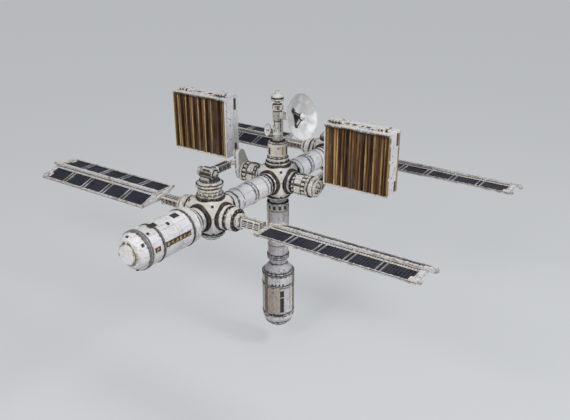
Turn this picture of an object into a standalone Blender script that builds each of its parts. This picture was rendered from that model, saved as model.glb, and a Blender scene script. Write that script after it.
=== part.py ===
"""Modular space station, a half-size model, in metres.

+X runs forward to the habitat module, +Y to the port that carries the right-hand
pleated box, and +Z up the mast. The origin is the centre of the middle node.
Every piece is a closed mesh of its own. Touching pieces keep the gap SEAT.
"""
import math

import bmesh
import bpy
from mathutils import Matrix, Vector

# Driving sizes of the whole station
NODE_SPACING = 6.65
NODE_HALF = 1.0
NODE_ROUND = 0.34
NODE_ROUND_STEPS = 2
SEAT = 0.0003
OVERRUN = 0.02

# Clearance of a pin in its hole
PIN_CLEARANCE = 0.005

# Round pieces
BIG_SIDES = 24
SIDES = 18
SMALL_SIDES = 12
PIN_SIDES = 8
SHARP_EDGE = math.radians(32)

# Ports on every face of a node
PORT_RADIUS = 0.82
PORT_WIDTH = 0.07
PORT_GROOVE_RADIUS = 0.74
PORT_GROOVE_WIDTH = 0.035
PORT_REACH = NODE_HALF + PORT_GROOVE_WIDTH + PORT_WIDTH

# Tunnels between the nodes
TUNNEL_RADIUS = 0.69
NECK_RADIUS = 0.58
COLLAR_RADIUS = 0.7
COLLAR_WIDTH = 0.2
COLLAR_GAP = 0.1
END_RING_RADIUS = 0.73
END_RING_WIDTH = 0.12
NECK_LENGTH = 0.42
SEAM_DEPTH = 0.025
SEAM_WIDTH = 0.06
MID_BAND_WIDTH = 0.32
FAR_BARREL_LENGTH = 0.7

# Vertical tunnel and lower module
LOWER_TUNNEL_LENGTH = 4.5
LOWER_BAND_WIDTH = 0.3
LOWER_BAND_RADIUS = 0.75
LOWER_NECK_RADIUS = 0.6
LOWER_NECK_LENGTH = 0.4
LOWER_SHOULDER_LENGTH = 0.6
LOWER_RADIUS = 1.08
LOWER_BARREL_LENGTH = 3.4
LOWER_DOME_LENGTH = 0.95
LOWER_RING_WIDTH = 0.09
LOWER_RING_PROUD = 0.03
LOWER_RING_1 = 0.12
LOWER_RING_2 = 0.95
LOWER_RING_3 = 3.15
# radius share, height share of the rounded bottom
LOWER_DOME_SHARES = [(1.0, 0.0), (0.94, 0.2), (0.84, 0.48), (0.78, 0.54), (0.66, 0.68), (0.45, 0.86),
                     (0.2, 0.96)]

# Habitat module in front
HABITAT_RADIUS = 1.05
HABITAT_NECK_RADIUS = 0.62
HABITAT_NECK_LENGTH = 0.5
HABITAT_NECK_RING_WIDTH = 0.16
HABITAT_NECK_RING_PROUD = 0.07
HABITAT_SHOULDER_LENGTH = 0.4
HABITAT_BARREL_LENGTH = 3.945
HABITAT_DOME_LENGTH = 0.5
HABITAT_RING_WIDTH = 0.1
HABITAT_RING_PROUD = 0.03
HABITAT_RING_1 = 0.495
HABITAT_RING_2 = 2.795
HABITAT_END_RING = 3.705
HABITAT_END_RING_WIDTH = 0.2
HABITAT_DOME_SHARES = [(1.0, 0.0), (0.95, 0.26), (0.86, 0.54), (0.72, 0.8), (0.53, 0.96)]
HATCH_RADIUS = 0.5
HATCH_PROUD = 0.1
WINDOW_HEIGHT = 0.28
WINDOW_DEPTH = 0.03
WINDOW_RISE = 0.12
WINDOW_START = 0.845
WINDOW_LENGTH = 1.9
PORTHOLE_START = 3.125
PORTHOLE_LENGTH = 0.4

# Closed caps on the free ports
CAP_BASE_RADIUS = 0.78
CAP_TOP_RADIUS = 0.52
CAP_RING_WIDTH = 0.14
CAP_RISE = 0.26
CAP_HATCH_RADIUS = 0.3
CAP_HATCH_PROUD = 0.05

# Adapter under the robot arm
ADAPTER_RADIUS = 0.72
ADAPTER_FLARE_RADIUS = 0.8
ADAPTER_BASE_WIDTH = 0.12
ADAPTER_BODY_LENGTH = 0.62
ADAPTER_RING_WIDTH = 0.14
ADAPTER_WAIST = 0.6
ADAPTER_TOP_RADIUS = 0.52
ADAPTER_TOP_RISE = 0.1

# Robot arm
ARM_TABLE_RADIUS = 0.46
ARM_TABLE_WIDTH = 0.1
ARM_RUNNING_GAP = 0.012
ARM_AXIS_RISE = 0.38
ARM_BARREL_RADIUS = 0.24
ARM_DRUM_HALF = 0.34
ARM_DRUM_RADIUS = 0.33
ARM_BARREL_BACK = 0.6
ARM_CHEEK_WIDTH = 0.09
ARM_CHEEK_HALF = 0.24
ARM_PIN_RADIUS = 0.09
ARM_MOTOR_HALF = 0.27
ARM_MOTOR_WIDTH = 0.26
ARM_BOOM_LENGTH = 1.1
ARM_RAIL_SIZE = 0.07
ARM_RAIL_SPREAD = 0.15
ARM_FRAME_WIDTH = 0.06
ARM_FRAME_COUNT = 3
ARM_END_LENGTH = 0.14
ARM_WRIST_RADIUS = 0.11
ARM_WRIST_REACH = 0.16
ARM_WRIST_WIDTH = 0.12
ARM_PALM_LENGTH = 0.14
ARM_PALM_HALF = 0.12
ARM_FINGER_LENGTH = 0.24
ARM_FINGER_SIZE = 0.05

# Wing joint housings on the nodes
HOUSING_BASE_RADIUS = 0.72
HOUSING_BASE_WIDTH = 0.28
HOUSING_WAIST_RADIUS = 0.55
HOUSING_WAIST_WIDTH = 0.14
HOUSING_RING_RADIUS = 0.66
HOUSING_RING_WIDTH = 0.42
HOUSING_NOSE_RADIUS = 0.42
HOUSING_NOSE_WIDTH = 0.2

# Channel boom that carries a wing
BOOM_DISC_RADIUS = 0.46
BOOM_DISC_WIDTH = 0.12
BOOM_HEIGHT = 0.56
BOOM_DEPTH = 0.5
BOOM_WALL = 0.09
BOOM_LENGTH = 1.55
BOOM_TIP_RADIUS = 0.13

# Solar wings
WING_HALF_CHORD = 1.4
WING_RIDGE_RISE = 0.24
WING_ROOT = 4.3
WING_CELL_LENGTH = 1.74
WING_CELLS = 5
WING_TILT = math.radians(9)
SHEET_THICKNESS = 0.035
RAIL_WIDTH = 0.11
RAIL_HEIGHT = 0.12
SPAR_WIDTH = 0.2
SPAR_HEIGHT = 0.15
BAR_WIDTH = 0.06
BAR_HEIGHT = 0.05
BAR_PAIR_SPREAD = 0.13
TIP_PLATE_WIDTH = 0.3
TIP_SPIKE_LENGTH = 0.32
TIP_SPIKE_SIZE = 0.14
TIP_LUG_LENGTH = 0.14
TIP_LUG_WIDTH = 0.3
YOKE_DEPTH = 0.3
YOKE_BAR = 0.16
YOKE_HEIGHT = 0.14
HORN_LENGTH = 0.26
HORN_RISE = 0.15
HORN_TIP = 0.1
# places of the lugs on the tip plate, as shares of the half chord
TIP_LUG_SHARES = [-0.72, 0.72]

# Swing arms and pleated boxes
SWIVEL_RADIUS = 0.62
SWIVEL_RING_RADIUS = 0.7
SWIVEL_RING_WIDTH = 0.22
SWIVEL_LENGTH = 1.55
SWIVEL_SEAM_WIDTH = 0.08
SWIVEL_SEAM_DEPTH = 0.06
SWING_HUB_RADIUS = 0.6
SWING_TIP_RADIUS = 0.34
SWING_WIDTH = 0.36
SWING_LENGTH = 1.29
SWING_POCKET_DEPTH = 0.07
SWING_POCKET_RIM = 0.12
LEFT_SWING = math.radians(15)
RIGHT_SWING = math.radians(-72)
SWING_BOX_GAP = 0.1844
BOX_WIDTH = 4.4
BOX_HEIGHT = 3.92
BOX_CORE_DEPTH = 0.95
BOX_RIM = 0.08
BOX_TOP_RAIL = 0.15
BOX_BOTTOM_RAIL = 0.09
BOX_PIVOT_RISE = 0.175
BOX_PIVOT_BACK = 0.245
BOX_EAR_RADIUS = 0.24
BOX_LUMP_LENGTH = 0.9
BOX_LUMP_SIZE = 0.16
BOX_LUMP_DEPTH = 0.34
BOX_SLOT_LENGTH = 0.36
BOX_SLOT_WIDTH = 0.09
BOX_SLOT_DEPTH = 0.05
BOX_SLOT_COUNT = 5
PLEAT_DEPTH = 0.17
PLEAT_FOLD = 0.13
PLEAT_COUNT = 8
# one pleat, as shares of its pitch and of the fold depth
PLEAT_SHARES = [(0.0, 0.0), (0.22, 1.0), (0.4, 0.25), (0.55, 0.62), (0.72, 0.1)]
# places of the hardware on the top rail, as shares of the width
BOX_LUMP_SHARES = [0.16, 0.8]
# where the two slots on a side wall start and end, as shares of the height
BOX_SIDE_SHARES = [(0.04, 0.2), (0.78, 0.97)]

# Tower and mast
TOWER_BASE_WIDTH = 0.14
TOWER_RING_RADIUS = 0.7
TOWER_RING_WIDTH = 0.18
TOWER_WAIST = 0.6
TOWER_WAIST_WIDTH = 0.1
TOWER_DRUM_RADIUS = 0.62
TOWER_DRUM_LENGTH = 0.86
TOWER_LID_RADIUS = 0.5
TOWER_LID_RISE = 0.1
MAST_FOOT_RADIUS = 0.32
MAST_FOOT_WIDTH = 0.08
MAST_RADIUS = 0.235
MAST_POLE_LENGTH = 1.82
MAST_BODY_RADIUS = 0.31
MAST_BODY_LENGTH = 0.42
MAST_NECK_RADIUS = 0.18
MAST_NECK_LENGTH = 0.26
MAST_HEAD_RADIUS = 0.4
MAST_HEAD_RING_WIDTH = 0.12
MAST_HEAD_GAP = 0.05
MAST_LID_LENGTH = 0.07
MAST_CAP_LENGTH = 0.2
MAST_CAP_MIDDLE_RADIUS = 0.3
MAST_CAP_TOP_RADIUS = 0.13
MAST_CONE_LENGTH = 0.12
PIPE_RADIUS = 0.06
PIPE_OFFSET = 0.35
PIPE_COLLAR_RADIUS = 0.31
PIPE_COLLAR_HEIGHT = 0.16

# Dish antennas
DISH_RADIUS = 1.406
DISH_DEPTH = 0.5
DISH_WALL = 0.035
DISH_RINGS = 5
DISH_HUB_RADIUS = 0.26
DISH_HUB_LENGTH = 0.2
DISH_RIM_FORWARD = 0.2025
DISH_RIM_SIDE = 1.974
DISH_RIM_HEIGHT = 4.461
DISH_AZIMUTH = math.radians(84.2)
DISH_ELEVATION = math.radians(15.2)
DISH_STANDOFF = 0.42
DISH_PIN_RADIUS = 0.07
YOKE_CHEEK = 0.07
YOKE_LUG_HALF = 0.12
YOKE_BACK = 0.16
YOKE_BLOCK = 0.16
YOKE_BLOCK_HALF = 0.14
BRACKET_HEIGHT = 0.42
BRACKET_WIDTH = 0.26
BRACKET_LEG_HALF = 0.17
BRACKET_RISE = 0.02
EAR_STEPS = 6
BRACKET_CLAMP_RADIUS = 0.31
FEED_HEIGHT = 0.42
FEED_RADIUS = 0.19
FEED_TIP_RADIUS = 0.07
FEED_LENGTH = 0.3
FEED_STRUT = 0.05
FEED_STRUT_COUNT = 3
FEED_STRUT_ROOT_SHARE = 0.4
SMALL_DISH_RADIUS = 0.39
SMALL_DISH_DEPTH = 0.1
SMALL_DISH_WALL = 0.02
SMALL_DISH_RINGS = 3
SMALL_DISH_BACK = 0.06
SMALL_DISH_SIDE = 0.72
SMALL_DISH_HEIGHT = 3.1
SMALL_DISH_AZIMUTH = math.radians(-24)
SMALL_DISH_ELEVATION = math.radians(12)
SMALL_DISH_STEM = 0.055
SMALL_DISH_BOOM = 0.042
SMALL_DISH_COLLAR_RADIUS = 0.29
SMALL_DISH_COLLAR_HEIGHT = 0.2

X, Y, Z = Vector((1, 0, 0)), Vector((0, 1, 0)), Vector((0, 0, 1))


def clear_scene():
    for item in list(bpy.data.objects):
        bpy.data.objects.remove(item, do_unlink=True)


def paint(name, colour, roughness, metallic=0.0):
    made = bpy.data.materials.new(name)
    made.use_nodes = True
    surface = made.node_tree.nodes["Principled BSDF"]
    surface.inputs["Base Color"].default_value = (*colour, 1.0)
    surface.inputs["Roughness"].default_value = roughness
    surface.inputs["Metallic"].default_value = metallic
    return made


clear_scene()
CREAM = paint("cream_paint", (0.78, 0.75, 0.69), 0.5)
GOLD = paint("gold_blanket", (0.42, 0.24, 0.09), 0.45, 0.6)
CELL = paint("solar_cell", (0.06, 0.06, 0.1), 0.3, 0.2)
STEEL = paint("grey_metal", (0.45, 0.44, 0.42), 0.4, 0.8)


def mesh_from(build):
    """A mesh made by a function that fills a bmesh."""
    made = bpy.data.meshes.new("shape")
    bm = bmesh.new()
    build(bm)
    bmesh.ops.recalc_face_normals(bm, faces=bm.faces)
    bm.to_mesh(made)
    bm.free()
    return made


def put(name, mesh, look, place=None, parent=None):
    """The named object of a mesh, shaded smooth up to the sharp edges."""
    made = bpy.data.objects.new(name, mesh)
    bpy.context.collection.objects.link(made)
    made.data.materials.clear()
    made.data.materials.append(look)
    if parent is not None:
        made.parent = parent
    if place is not None:
        made.matrix_basis = place
    made.data.shade_smooth()
    made.data.set_sharp_from_angle(angle=SHARP_EDGE)
    return made


def pivot(name, place):
    """An empty on a joint's axis, which carries what turns there."""
    made = bpy.data.objects.new(name, None)
    bpy.context.collection.objects.link(made)
    made.matrix_world = place
    return made


def facing(direction):
    """The rotation that takes +Z to a direction."""
    return direction.to_track_quat("Z", "Y").to_matrix().to_4x4()


def turned(profile, sides, direction=Z, at=Vector((0, 0, 0))):
    """A turned solid: profile is (radius, height) from one end of the axis to the other."""
    def build(bm):
        verts = [bm.verts.new((radius, 0, height)) for radius, height in profile]
        edges = [bm.edges.new(pair) for pair in zip(verts, verts[1:])]
        bmesh.ops.spin(bm, geom=verts + edges, cent=(0, 0, 0), axis=Z, angle=math.tau,
                       steps=sides, use_merge=True)
        bmesh.ops.remove_doubles(bm, verts=bm.verts, dist=SEAT / 3)
        bmesh.ops.transform(bm, matrix=Matrix.Translation(at) @ facing(direction), verts=bm.verts)
    return mesh_from(build)


def block(low, high):
    """A box between two corners."""
    def build(bm):
        bmesh.ops.create_cube(bm, size=1)
        centre = (Vector(low) + Vector(high)) / 2
        size = Vector(high) - Vector(low)
        bmesh.ops.transform(bm, matrix=Matrix.Translation(centre) @ Matrix.Diagonal((*size, 1)),
                            verts=bm.verts)
    return mesh_from(build)


def plate(outline, start, end, axis=Y):
    """An outline in the plane across an axis, extruded from start to end along it."""
    def build(bm):
        if axis == Y:
            points = [Vector((u, start, v)) for u, v in outline]
        elif axis == Z:
            points = [Vector((u, v, start)) for u, v in outline]
        else:
            points = [Vector((start, u, v)) for u, v in outline]
        face = bm.faces.new([bm.verts.new(point) for point in points])
        grown = bmesh.ops.extrude_face_region(bm, geom=[face])
        moved = [item for item in grown["geom"] if isinstance(item, bmesh.types.BMVert)]
        bmesh.ops.translate(bm, vec=axis * (end - start), verts=moved)
    return mesh_from(build)


def combined(base, others, operation="UNION"):
    """One closed mesh from a base and the meshes joined to it or cut from it."""
    scratch = bpy.context.scene.collection
    body = bpy.data.objects.new("body", base)
    scratch.objects.link(body)
    tools = []
    for other in others:
        tool = bpy.data.objects.new("tool", other)
        tool.hide_render = True
        tool.display_type = "WIRE"
        scratch.objects.link(tool)
        tools.append(tool)
        step = body.modifiers.new("step", "BOOLEAN")
        step.operation = operation
        step.solver = "EXACT"
        step.object = tool
    bpy.context.view_layer.update()
    graph = bpy.context.evaluated_depsgraph_get()
    made = bpy.data.meshes.new_from_object(body.evaluated_get(graph))
    for item in [body] + tools:
        bpy.data.objects.remove(item, do_unlink=True)
    return made


def united(*shapes):
    return combined(shapes[0], shapes[1:])


def cut(base, *shapes):
    return combined(base, shapes, "DIFFERENCE")


def rod(start, end, radius, sides=PIN_SIDES):
    """A round bar between two points."""
    span = Vector(end) - Vector(start)
    return turned([(0, 0), (radius, 0), (radius, span.length), (0, span.length)], sides,
                  span.normalized(), Vector(start))


def hole_radius(pin_radius, sides):
    """A faceted hole in which a faceted pin of the same count of sides turns freely."""
    return (pin_radius + PIN_CLEARANCE) / math.cos(math.pi / sides)


def ring_points(start, width, radius, proud):
    """Four profile points of a ring that stands out of a round body."""
    return [(radius, start), (radius + proud, start), (radius + proud, start + width),
            (radius, start + width)]


# Nodes: a rounded cube with a flanged port on each of its six faces
def node_mesh():
    def rounded(bm):
        bmesh.ops.create_cube(bm, size=NODE_HALF * 2)
        bmesh.ops.bevel(bm, geom=bm.edges[:], offset=NODE_ROUND, offset_type="OFFSET",
                        segments=NODE_ROUND_STEPS, profile=0.5, affect="EDGES")
    lip = NODE_HALF + PORT_GROOVE_WIDTH
    root = NODE_HALF - NODE_ROUND
    port = [(0, root), (PORT_GROOVE_RADIUS, root), (PORT_GROOVE_RADIUS, lip), (PORT_RADIUS, lip),
            (PORT_RADIUS, PORT_REACH), (0, PORT_REACH)]
    ports = [turned(port, SIDES, axis * way) for axis in (X, Y, Z) for way in (-1, 1)]
    return united(mesh_from(rounded), *ports)


NODE_MESH = node_mesh()
NODES = {"centre_node": 0, "front_node": NODE_SPACING, "rear_node": -NODE_SPACING}
for node_name, node_x in NODES.items():
    put(node_name, NODE_MESH.copy(), CREAM, Matrix.Translation(X * node_x))


# Tunnels: necked and ringed at both ends, with seams round the barrel
def tunnel_profile(length):
    far = length - FAR_BARREL_LENGTH
    first = NECK_LENGTH + END_RING_WIDTH
    middle = (first + far - MID_BAND_WIDTH) / 2
    points = [(0, 0), (COLLAR_RADIUS, 0), (COLLAR_RADIUS, COLLAR_WIDTH), (NECK_RADIUS, COLLAR_WIDTH),
              (NECK_RADIUS, NECK_LENGTH), (END_RING_RADIUS, NECK_LENGTH), (END_RING_RADIUS, first),
              (TUNNEL_RADIUS, first)]
    for start, width in ((middle, MID_BAND_WIDTH), (far, SEAM_WIDTH)):
        points += ring_points(start, width, TUNNEL_RADIUS, SEAM_DEPTH)
    points += [(TUNNEL_RADIUS, length - COLLAR_WIDTH - COLLAR_GAP),
               (NECK_RADIUS, length - COLLAR_WIDTH - COLLAR_GAP),
               (NECK_RADIUS, length - COLLAR_WIDTH), (COLLAR_RADIUS, length - COLLAR_WIDTH),
               (COLLAR_RADIUS, length), (0, length)]
    return points


TUNNEL_START = PORT_REACH + SEAT
TUNNEL_LENGTH = NODE_SPACING - (PORT_REACH + SEAT) * 2
TUNNEL_PROFILE = tunnel_profile(TUNNEL_LENGTH)
put("front_tunnel", turned(TUNNEL_PROFILE, SIDES, X, X * TUNNEL_START), CREAM)
put("rear_tunnel", turned(TUNNEL_PROFILE, SIDES, -X, -X * TUNNEL_START), CREAM)


# Lower tunnel and the module that hangs from it
def lower_tunnel_profile():
    first = NECK_LENGTH
    points = [(0, 0), (COLLAR_RADIUS, 0), (COLLAR_RADIUS, COLLAR_WIDTH), (NECK_RADIUS, COLLAR_WIDTH),
              (NECK_RADIUS, first), (END_RING_RADIUS, first), (END_RING_RADIUS, first + END_RING_WIDTH),
              (TUNNEL_RADIUS, first + END_RING_WIDTH)]
    band = LOWER_TUNNEL_LENGTH - LOWER_BAND_WIDTH
    points += [(TUNNEL_RADIUS, band), (LOWER_BAND_RADIUS, band), (LOWER_BAND_RADIUS, LOWER_TUNNEL_LENGTH),
               (0, LOWER_TUNNEL_LENGTH)]
    return points


put("lower_tunnel", turned(lower_tunnel_profile(), SIDES, -Z, -Z * TUNNEL_START), CREAM)
LOWER_START = TUNNEL_START + LOWER_TUNNEL_LENGTH + SEAT


def lower_profile():
    shoulder = LOWER_NECK_LENGTH + LOWER_SHOULDER_LENGTH
    points = [(0, 0), (LOWER_NECK_RADIUS, 0), (LOWER_NECK_RADIUS, LOWER_NECK_LENGTH)]
    for ring in (LOWER_RING_1, LOWER_RING_2, LOWER_RING_3):
        points += ring_points(shoulder + ring - LOWER_RING_1, LOWER_RING_WIDTH, LOWER_RADIUS,
                              LOWER_RING_PROUD)
    end = shoulder + LOWER_BARREL_LENGTH
    points += [(share * LOWER_RADIUS, end + rise * LOWER_DOME_LENGTH) for share, rise in LOWER_DOME_SHARES]
    return points + [(0, end + LOWER_DOME_LENGTH)]


put("lower_module", turned(lower_profile(), BIG_SIDES, -Z, -Z * LOWER_START), CREAM)


# Habitat module: neck, shoulder, ringed barrel, dome and raised hatch, with its window strips
def habitat_profile():
    shoulder = HABITAT_NECK_LENGTH + HABITAT_SHOULDER_LENGTH
    ring = (HABITAT_NECK_LENGTH - HABITAT_NECK_RING_WIDTH) / 2
    points = [(0, 0), (HABITAT_NECK_RADIUS, 0)]
    points += ring_points(ring, HABITAT_NECK_RING_WIDTH, HABITAT_NECK_RADIUS, HABITAT_NECK_RING_PROUD)
    points += [(HABITAT_NECK_RADIUS, HABITAT_NECK_LENGTH)]
    points += [(PORT_RADIUS, HABITAT_NECK_LENGTH + HABITAT_RING_WIDTH / 2), (HABITAT_RADIUS, shoulder)]
    for place, width in ((HABITAT_RING_1, HABITAT_RING_WIDTH), (HABITAT_RING_2, HABITAT_RING_WIDTH),
                         (HABITAT_END_RING, HABITAT_END_RING_WIDTH)):
        points += ring_points(shoulder + place, width, HABITAT_RADIUS, HABITAT_RING_PROUD)
    end = shoulder + HABITAT_BARREL_LENGTH
    points += [(share * HABITAT_RADIUS, end + rise * HABITAT_DOME_LENGTH)
               for share, rise in HABITAT_DOME_SHARES]
    top = end + HABITAT_DOME_LENGTH
    return points + [(HATCH_RADIUS, top), (HATCH_RADIUS, top + HATCH_PROUD), (0, top + HATCH_PROUD)]


def habitat_mesh():
    start = NODE_SPACING + TUNNEL_START
    barrel = start + HABITAT_NECK_LENGTH + HABITAT_SHOULDER_LENGTH
    body = turned(habitat_profile(), BIG_SIDES, X, X * start)
    floor = HABITAT_RADIUS - WINDOW_DEPTH
    recesses = []
    for side in (-1, 1):
        for begin, length in ((WINDOW_START, WINDOW_LENGTH), (PORTHOLE_START, PORTHOLE_LENGTH)):
            inner, outer = sorted((side * floor, side * (HABITAT_RADIUS + OVERRUN + HABITAT_RING_PROUD)))
            recesses.append(block((barrel + begin, inner, WINDOW_RISE - WINDOW_HEIGHT / 2),
                                  (barrel + begin + length, outer, WINDOW_RISE + WINDOW_HEIGHT / 2)))
    return cut(body, *recesses)


put("habitat_module", habitat_mesh(), CREAM)


# Closed caps on the ports that carry nothing
CAP_PROFILE = [(0, 0), (CAP_BASE_RADIUS, 0), (CAP_BASE_RADIUS, CAP_RING_WIDTH),
               (CAP_TOP_RADIUS, CAP_RING_WIDTH + CAP_RISE),
               (CAP_HATCH_RADIUS, CAP_RING_WIDTH + CAP_RISE),
               (CAP_HATCH_RADIUS, CAP_RING_WIDTH + CAP_RISE + CAP_HATCH_PROUD),
               (0, CAP_RING_WIDTH + CAP_RISE + CAP_HATCH_PROUD)]
CAPS = {"front_lower_cap": (X * NODE_SPACING, -Z), "rear_lower_cap": (-X * NODE_SPACING, -Z),
        "rear_upper_cap": (-X * NODE_SPACING, Z), "aft_cap": (-X * NODE_SPACING, -X)}
for cap_name, (cap_centre, cap_way) in CAPS.items():
    put(cap_name, turned(CAP_PROFILE, SMALL_SIDES, cap_way, cap_centre + cap_way * TUNNEL_START), CREAM)


# Robot arm on the front node: adapter, turntable, boom and gripper
def adapter_profile():
    body = ADAPTER_BASE_WIDTH + ADAPTER_BODY_LENGTH
    middle = ADAPTER_BASE_WIDTH + (ADAPTER_BODY_LENGTH - ADAPTER_RING_WIDTH) / 2
    return [(0, 0), (CAP_BASE_RADIUS, 0), (CAP_BASE_RADIUS, ADAPTER_BASE_WIDTH),
            (ADAPTER_WAIST, ADAPTER_BASE_WIDTH), (ADAPTER_WAIST, middle),
            (ADAPTER_RADIUS, middle), (ADAPTER_RADIUS, middle + ADAPTER_RING_WIDTH),
            (ADAPTER_WAIST, body - ADAPTER_RING_WIDTH), (ADAPTER_FLARE_RADIUS, body - ADAPTER_RING_WIDTH),
            (ADAPTER_FLARE_RADIUS, body), (ADAPTER_TOP_RADIUS, body + ADAPTER_TOP_RISE),
            (0, body + ADAPTER_TOP_RISE)]


ARM_BASE = TUNNEL_START + ADAPTER_BASE_WIDTH + ADAPTER_BODY_LENGTH + ADAPTER_TOP_RISE
ARM_AXIS = ARM_BASE + SEAT + ARM_TABLE_WIDTH + ARM_AXIS_RISE
put("arm_adapter", turned(adapter_profile(), SIDES, Z, X * NODE_SPACING + Z * TUNNEL_START), CREAM)


def turntable_mesh():
    """Table, two cheeks and the motor beside them, about the shoulder's own axis."""
    low = ARM_BASE + SEAT - ARM_AXIS
    deck = low + ARM_TABLE_WIDTH
    table = rod((0, 0, low), (0, 0, deck), ARM_TABLE_RADIUS, SIDES)
    cheeks = []
    near = ARM_DRUM_HALF + SEAT
    for side in (-1, 1):
        inner, outer = sorted((side * near, side * (near + ARM_CHEEK_WIDTH)))
        cheeks.append(block((-ARM_CHEEK_HALF, inner, deck - OVERRUN), (ARM_CHEEK_HALF, outer, 0)))
        cheeks.append(rod((0, inner, 0), (0, outer, 0), ARM_CHEEK_HALF, SMALL_SIDES))
    start = near + ARM_CHEEK_WIDTH - OVERRUN
    motor = rod((0, -start, 0), (0, -start - ARM_MOTOR_WIDTH, 0), ARM_MOTOR_HALF, SMALL_SIDES)
    pin = rod((0, -near - OVERRUN, 0), (0, near + OVERRUN, 0), ARM_PIN_RADIUS)
    return united(table, *cheeks, motor, pin)


def arm_boom_mesh():
    """Shoulder drum, root barrel, four rails with frames between them, and the wrist block at the end."""
    barrel = rod((0, 0, 0), (-ARM_BARREL_BACK, 0, 0), ARM_BARREL_RADIUS, SMALL_SIDES)
    drum = rod((0, -ARM_DRUM_HALF, 0), (0, ARM_DRUM_HALF, 0), ARM_DRUM_RADIUS, SMALL_SIDES + 2)
    end = -ARM_BARREL_BACK - ARM_BOOM_LENGTH
    half = ARM_RAIL_SIZE / 2
    parts = []
    for up in (-1, 1):
        for side in (-1, 1):
            centre = Vector((0, side * ARM_RAIL_SPREAD, up * ARM_RAIL_SPREAD))
            low = centre + Vector((end, -half, -half))
            high = centre + Vector((-ARM_BARREL_BACK + OVERRUN, half, half))
            parts.append(block(low, high))
    reach = ARM_RAIL_SPREAD + half - OVERRUN / 2
    pitch = (ARM_BOOM_LENGTH - ARM_END_LENGTH) / ARM_FRAME_COUNT
    for index in range(1, ARM_FRAME_COUNT):
        place = -ARM_BARREL_BACK - pitch * index
        parts.append(block((place - ARM_FRAME_WIDTH, -reach, -reach), (place, reach, reach)))
    parts.append(block((end - OVERRUN, -reach - OVERRUN, -reach - OVERRUN),
                       (end + ARM_END_LENGTH, reach + OVERRUN, reach + OVERRUN)))
    tongue = end - OVERRUN - ARM_WRIST_REACH
    half_tongue = ARM_WRIST_WIDTH / 2
    parts.append(block((tongue, -half_tongue, -ARM_WRIST_RADIUS), (end, half_tongue, ARM_WRIST_RADIUS)))
    parts.append(rod((tongue, -half_tongue, 0), (tongue, half_tongue, 0), ARM_WRIST_RADIUS, SMALL_SIDES))
    body = united(drum, barrel, *parts)
    wide = ARM_DRUM_HALF + OVERRUN
    bore = rod((0, -wide, 0), (0, wide, 0), hole_radius(ARM_PIN_RADIUS, PIN_SIDES))
    return cut(body, bore)


WRIST_BACK = ARM_BARREL_BACK + ARM_BOOM_LENGTH + OVERRUN + ARM_WRIST_REACH


def gripper_mesh():
    """A fork round the boom's tongue, a palm and two fingers, about the wrist's axis."""
    inner = ARM_WRIST_WIDTH / 2 + SEAT
    outer = inner + ARM_FINGER_SIZE
    back = -ARM_WRIST_RADIUS - ARM_RUNNING_GAP - OVERRUN
    palm = block((back - ARM_PALM_LENGTH, -ARM_PALM_HALF, -ARM_PALM_HALF),
                 (back, ARM_PALM_HALF, ARM_PALM_HALF))
    parts = []
    for side in (-1, 1):
        low, high = sorted((side * inner, side * outer))
        parts.append(block((back - OVERRUN, low, -ARM_FINGER_SIZE), (0, high, ARM_FINGER_SIZE)))
        parts.append(rod((0, low, 0), (0, high, 0), ARM_FINGER_SIZE, PIN_SIDES))
        tip, root = sorted((side * (ARM_PALM_HALF - ARM_FINGER_SIZE), side * ARM_PALM_HALF))
        parts.append(block((back - ARM_PALM_LENGTH - ARM_FINGER_LENGTH, -ARM_FINGER_SIZE, tip),
                           (back - ARM_PALM_LENGTH + OVERRUN, ARM_FINGER_SIZE, root)))
    return united(palm, *parts)


ARM_TURN = pivot("arm_turn_axis", Matrix.Translation(X * NODE_SPACING + Z * ARM_AXIS))
ARM_PITCH = pivot("arm_pitch_axis", Matrix.Translation(X * NODE_SPACING + Z * ARM_AXIS))
WRIST = pivot("arm_wrist_axis", Matrix.Translation(X * (NODE_SPACING - WRIST_BACK) + Z * ARM_AXIS))
put("arm_turntable", turntable_mesh(), STEEL, parent=ARM_TURN)
put("arm_boom", arm_boom_mesh(), CREAM, parent=ARM_PITCH)
put("arm_gripper", gripper_mesh(), STEEL, parent=WRIST)


# Wing joint housings, one turned piece on each side port of the outer nodes
HOUSING_LENGTH = HOUSING_BASE_WIDTH + HOUSING_WAIST_WIDTH + HOUSING_RING_WIDTH + HOUSING_NOSE_WIDTH
RING_FROM = HOUSING_BASE_WIDTH + HOUSING_WAIST_WIDTH
HOUSING_PROFILE = [(0, 0), (HOUSING_BASE_RADIUS, 0), (HOUSING_BASE_RADIUS, HOUSING_BASE_WIDTH),
                   (HOUSING_WAIST_RADIUS, HOUSING_BASE_WIDTH), (HOUSING_WAIST_RADIUS, RING_FROM),
                   (HOUSING_RING_RADIUS, RING_FROM),
                   (HOUSING_RING_RADIUS, RING_FROM + HOUSING_RING_WIDTH),
                   (HOUSING_NOSE_RADIUS, RING_FROM + HOUSING_RING_WIDTH),
                   (HOUSING_NOSE_RADIUS, HOUSING_LENGTH), (0, HOUSING_LENGTH)]
BOOM_START = TUNNEL_START + HOUSING_LENGTH + SEAT
YOKE_START = WING_ROOT - YOKE_DEPTH - YOKE_BAR


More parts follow.
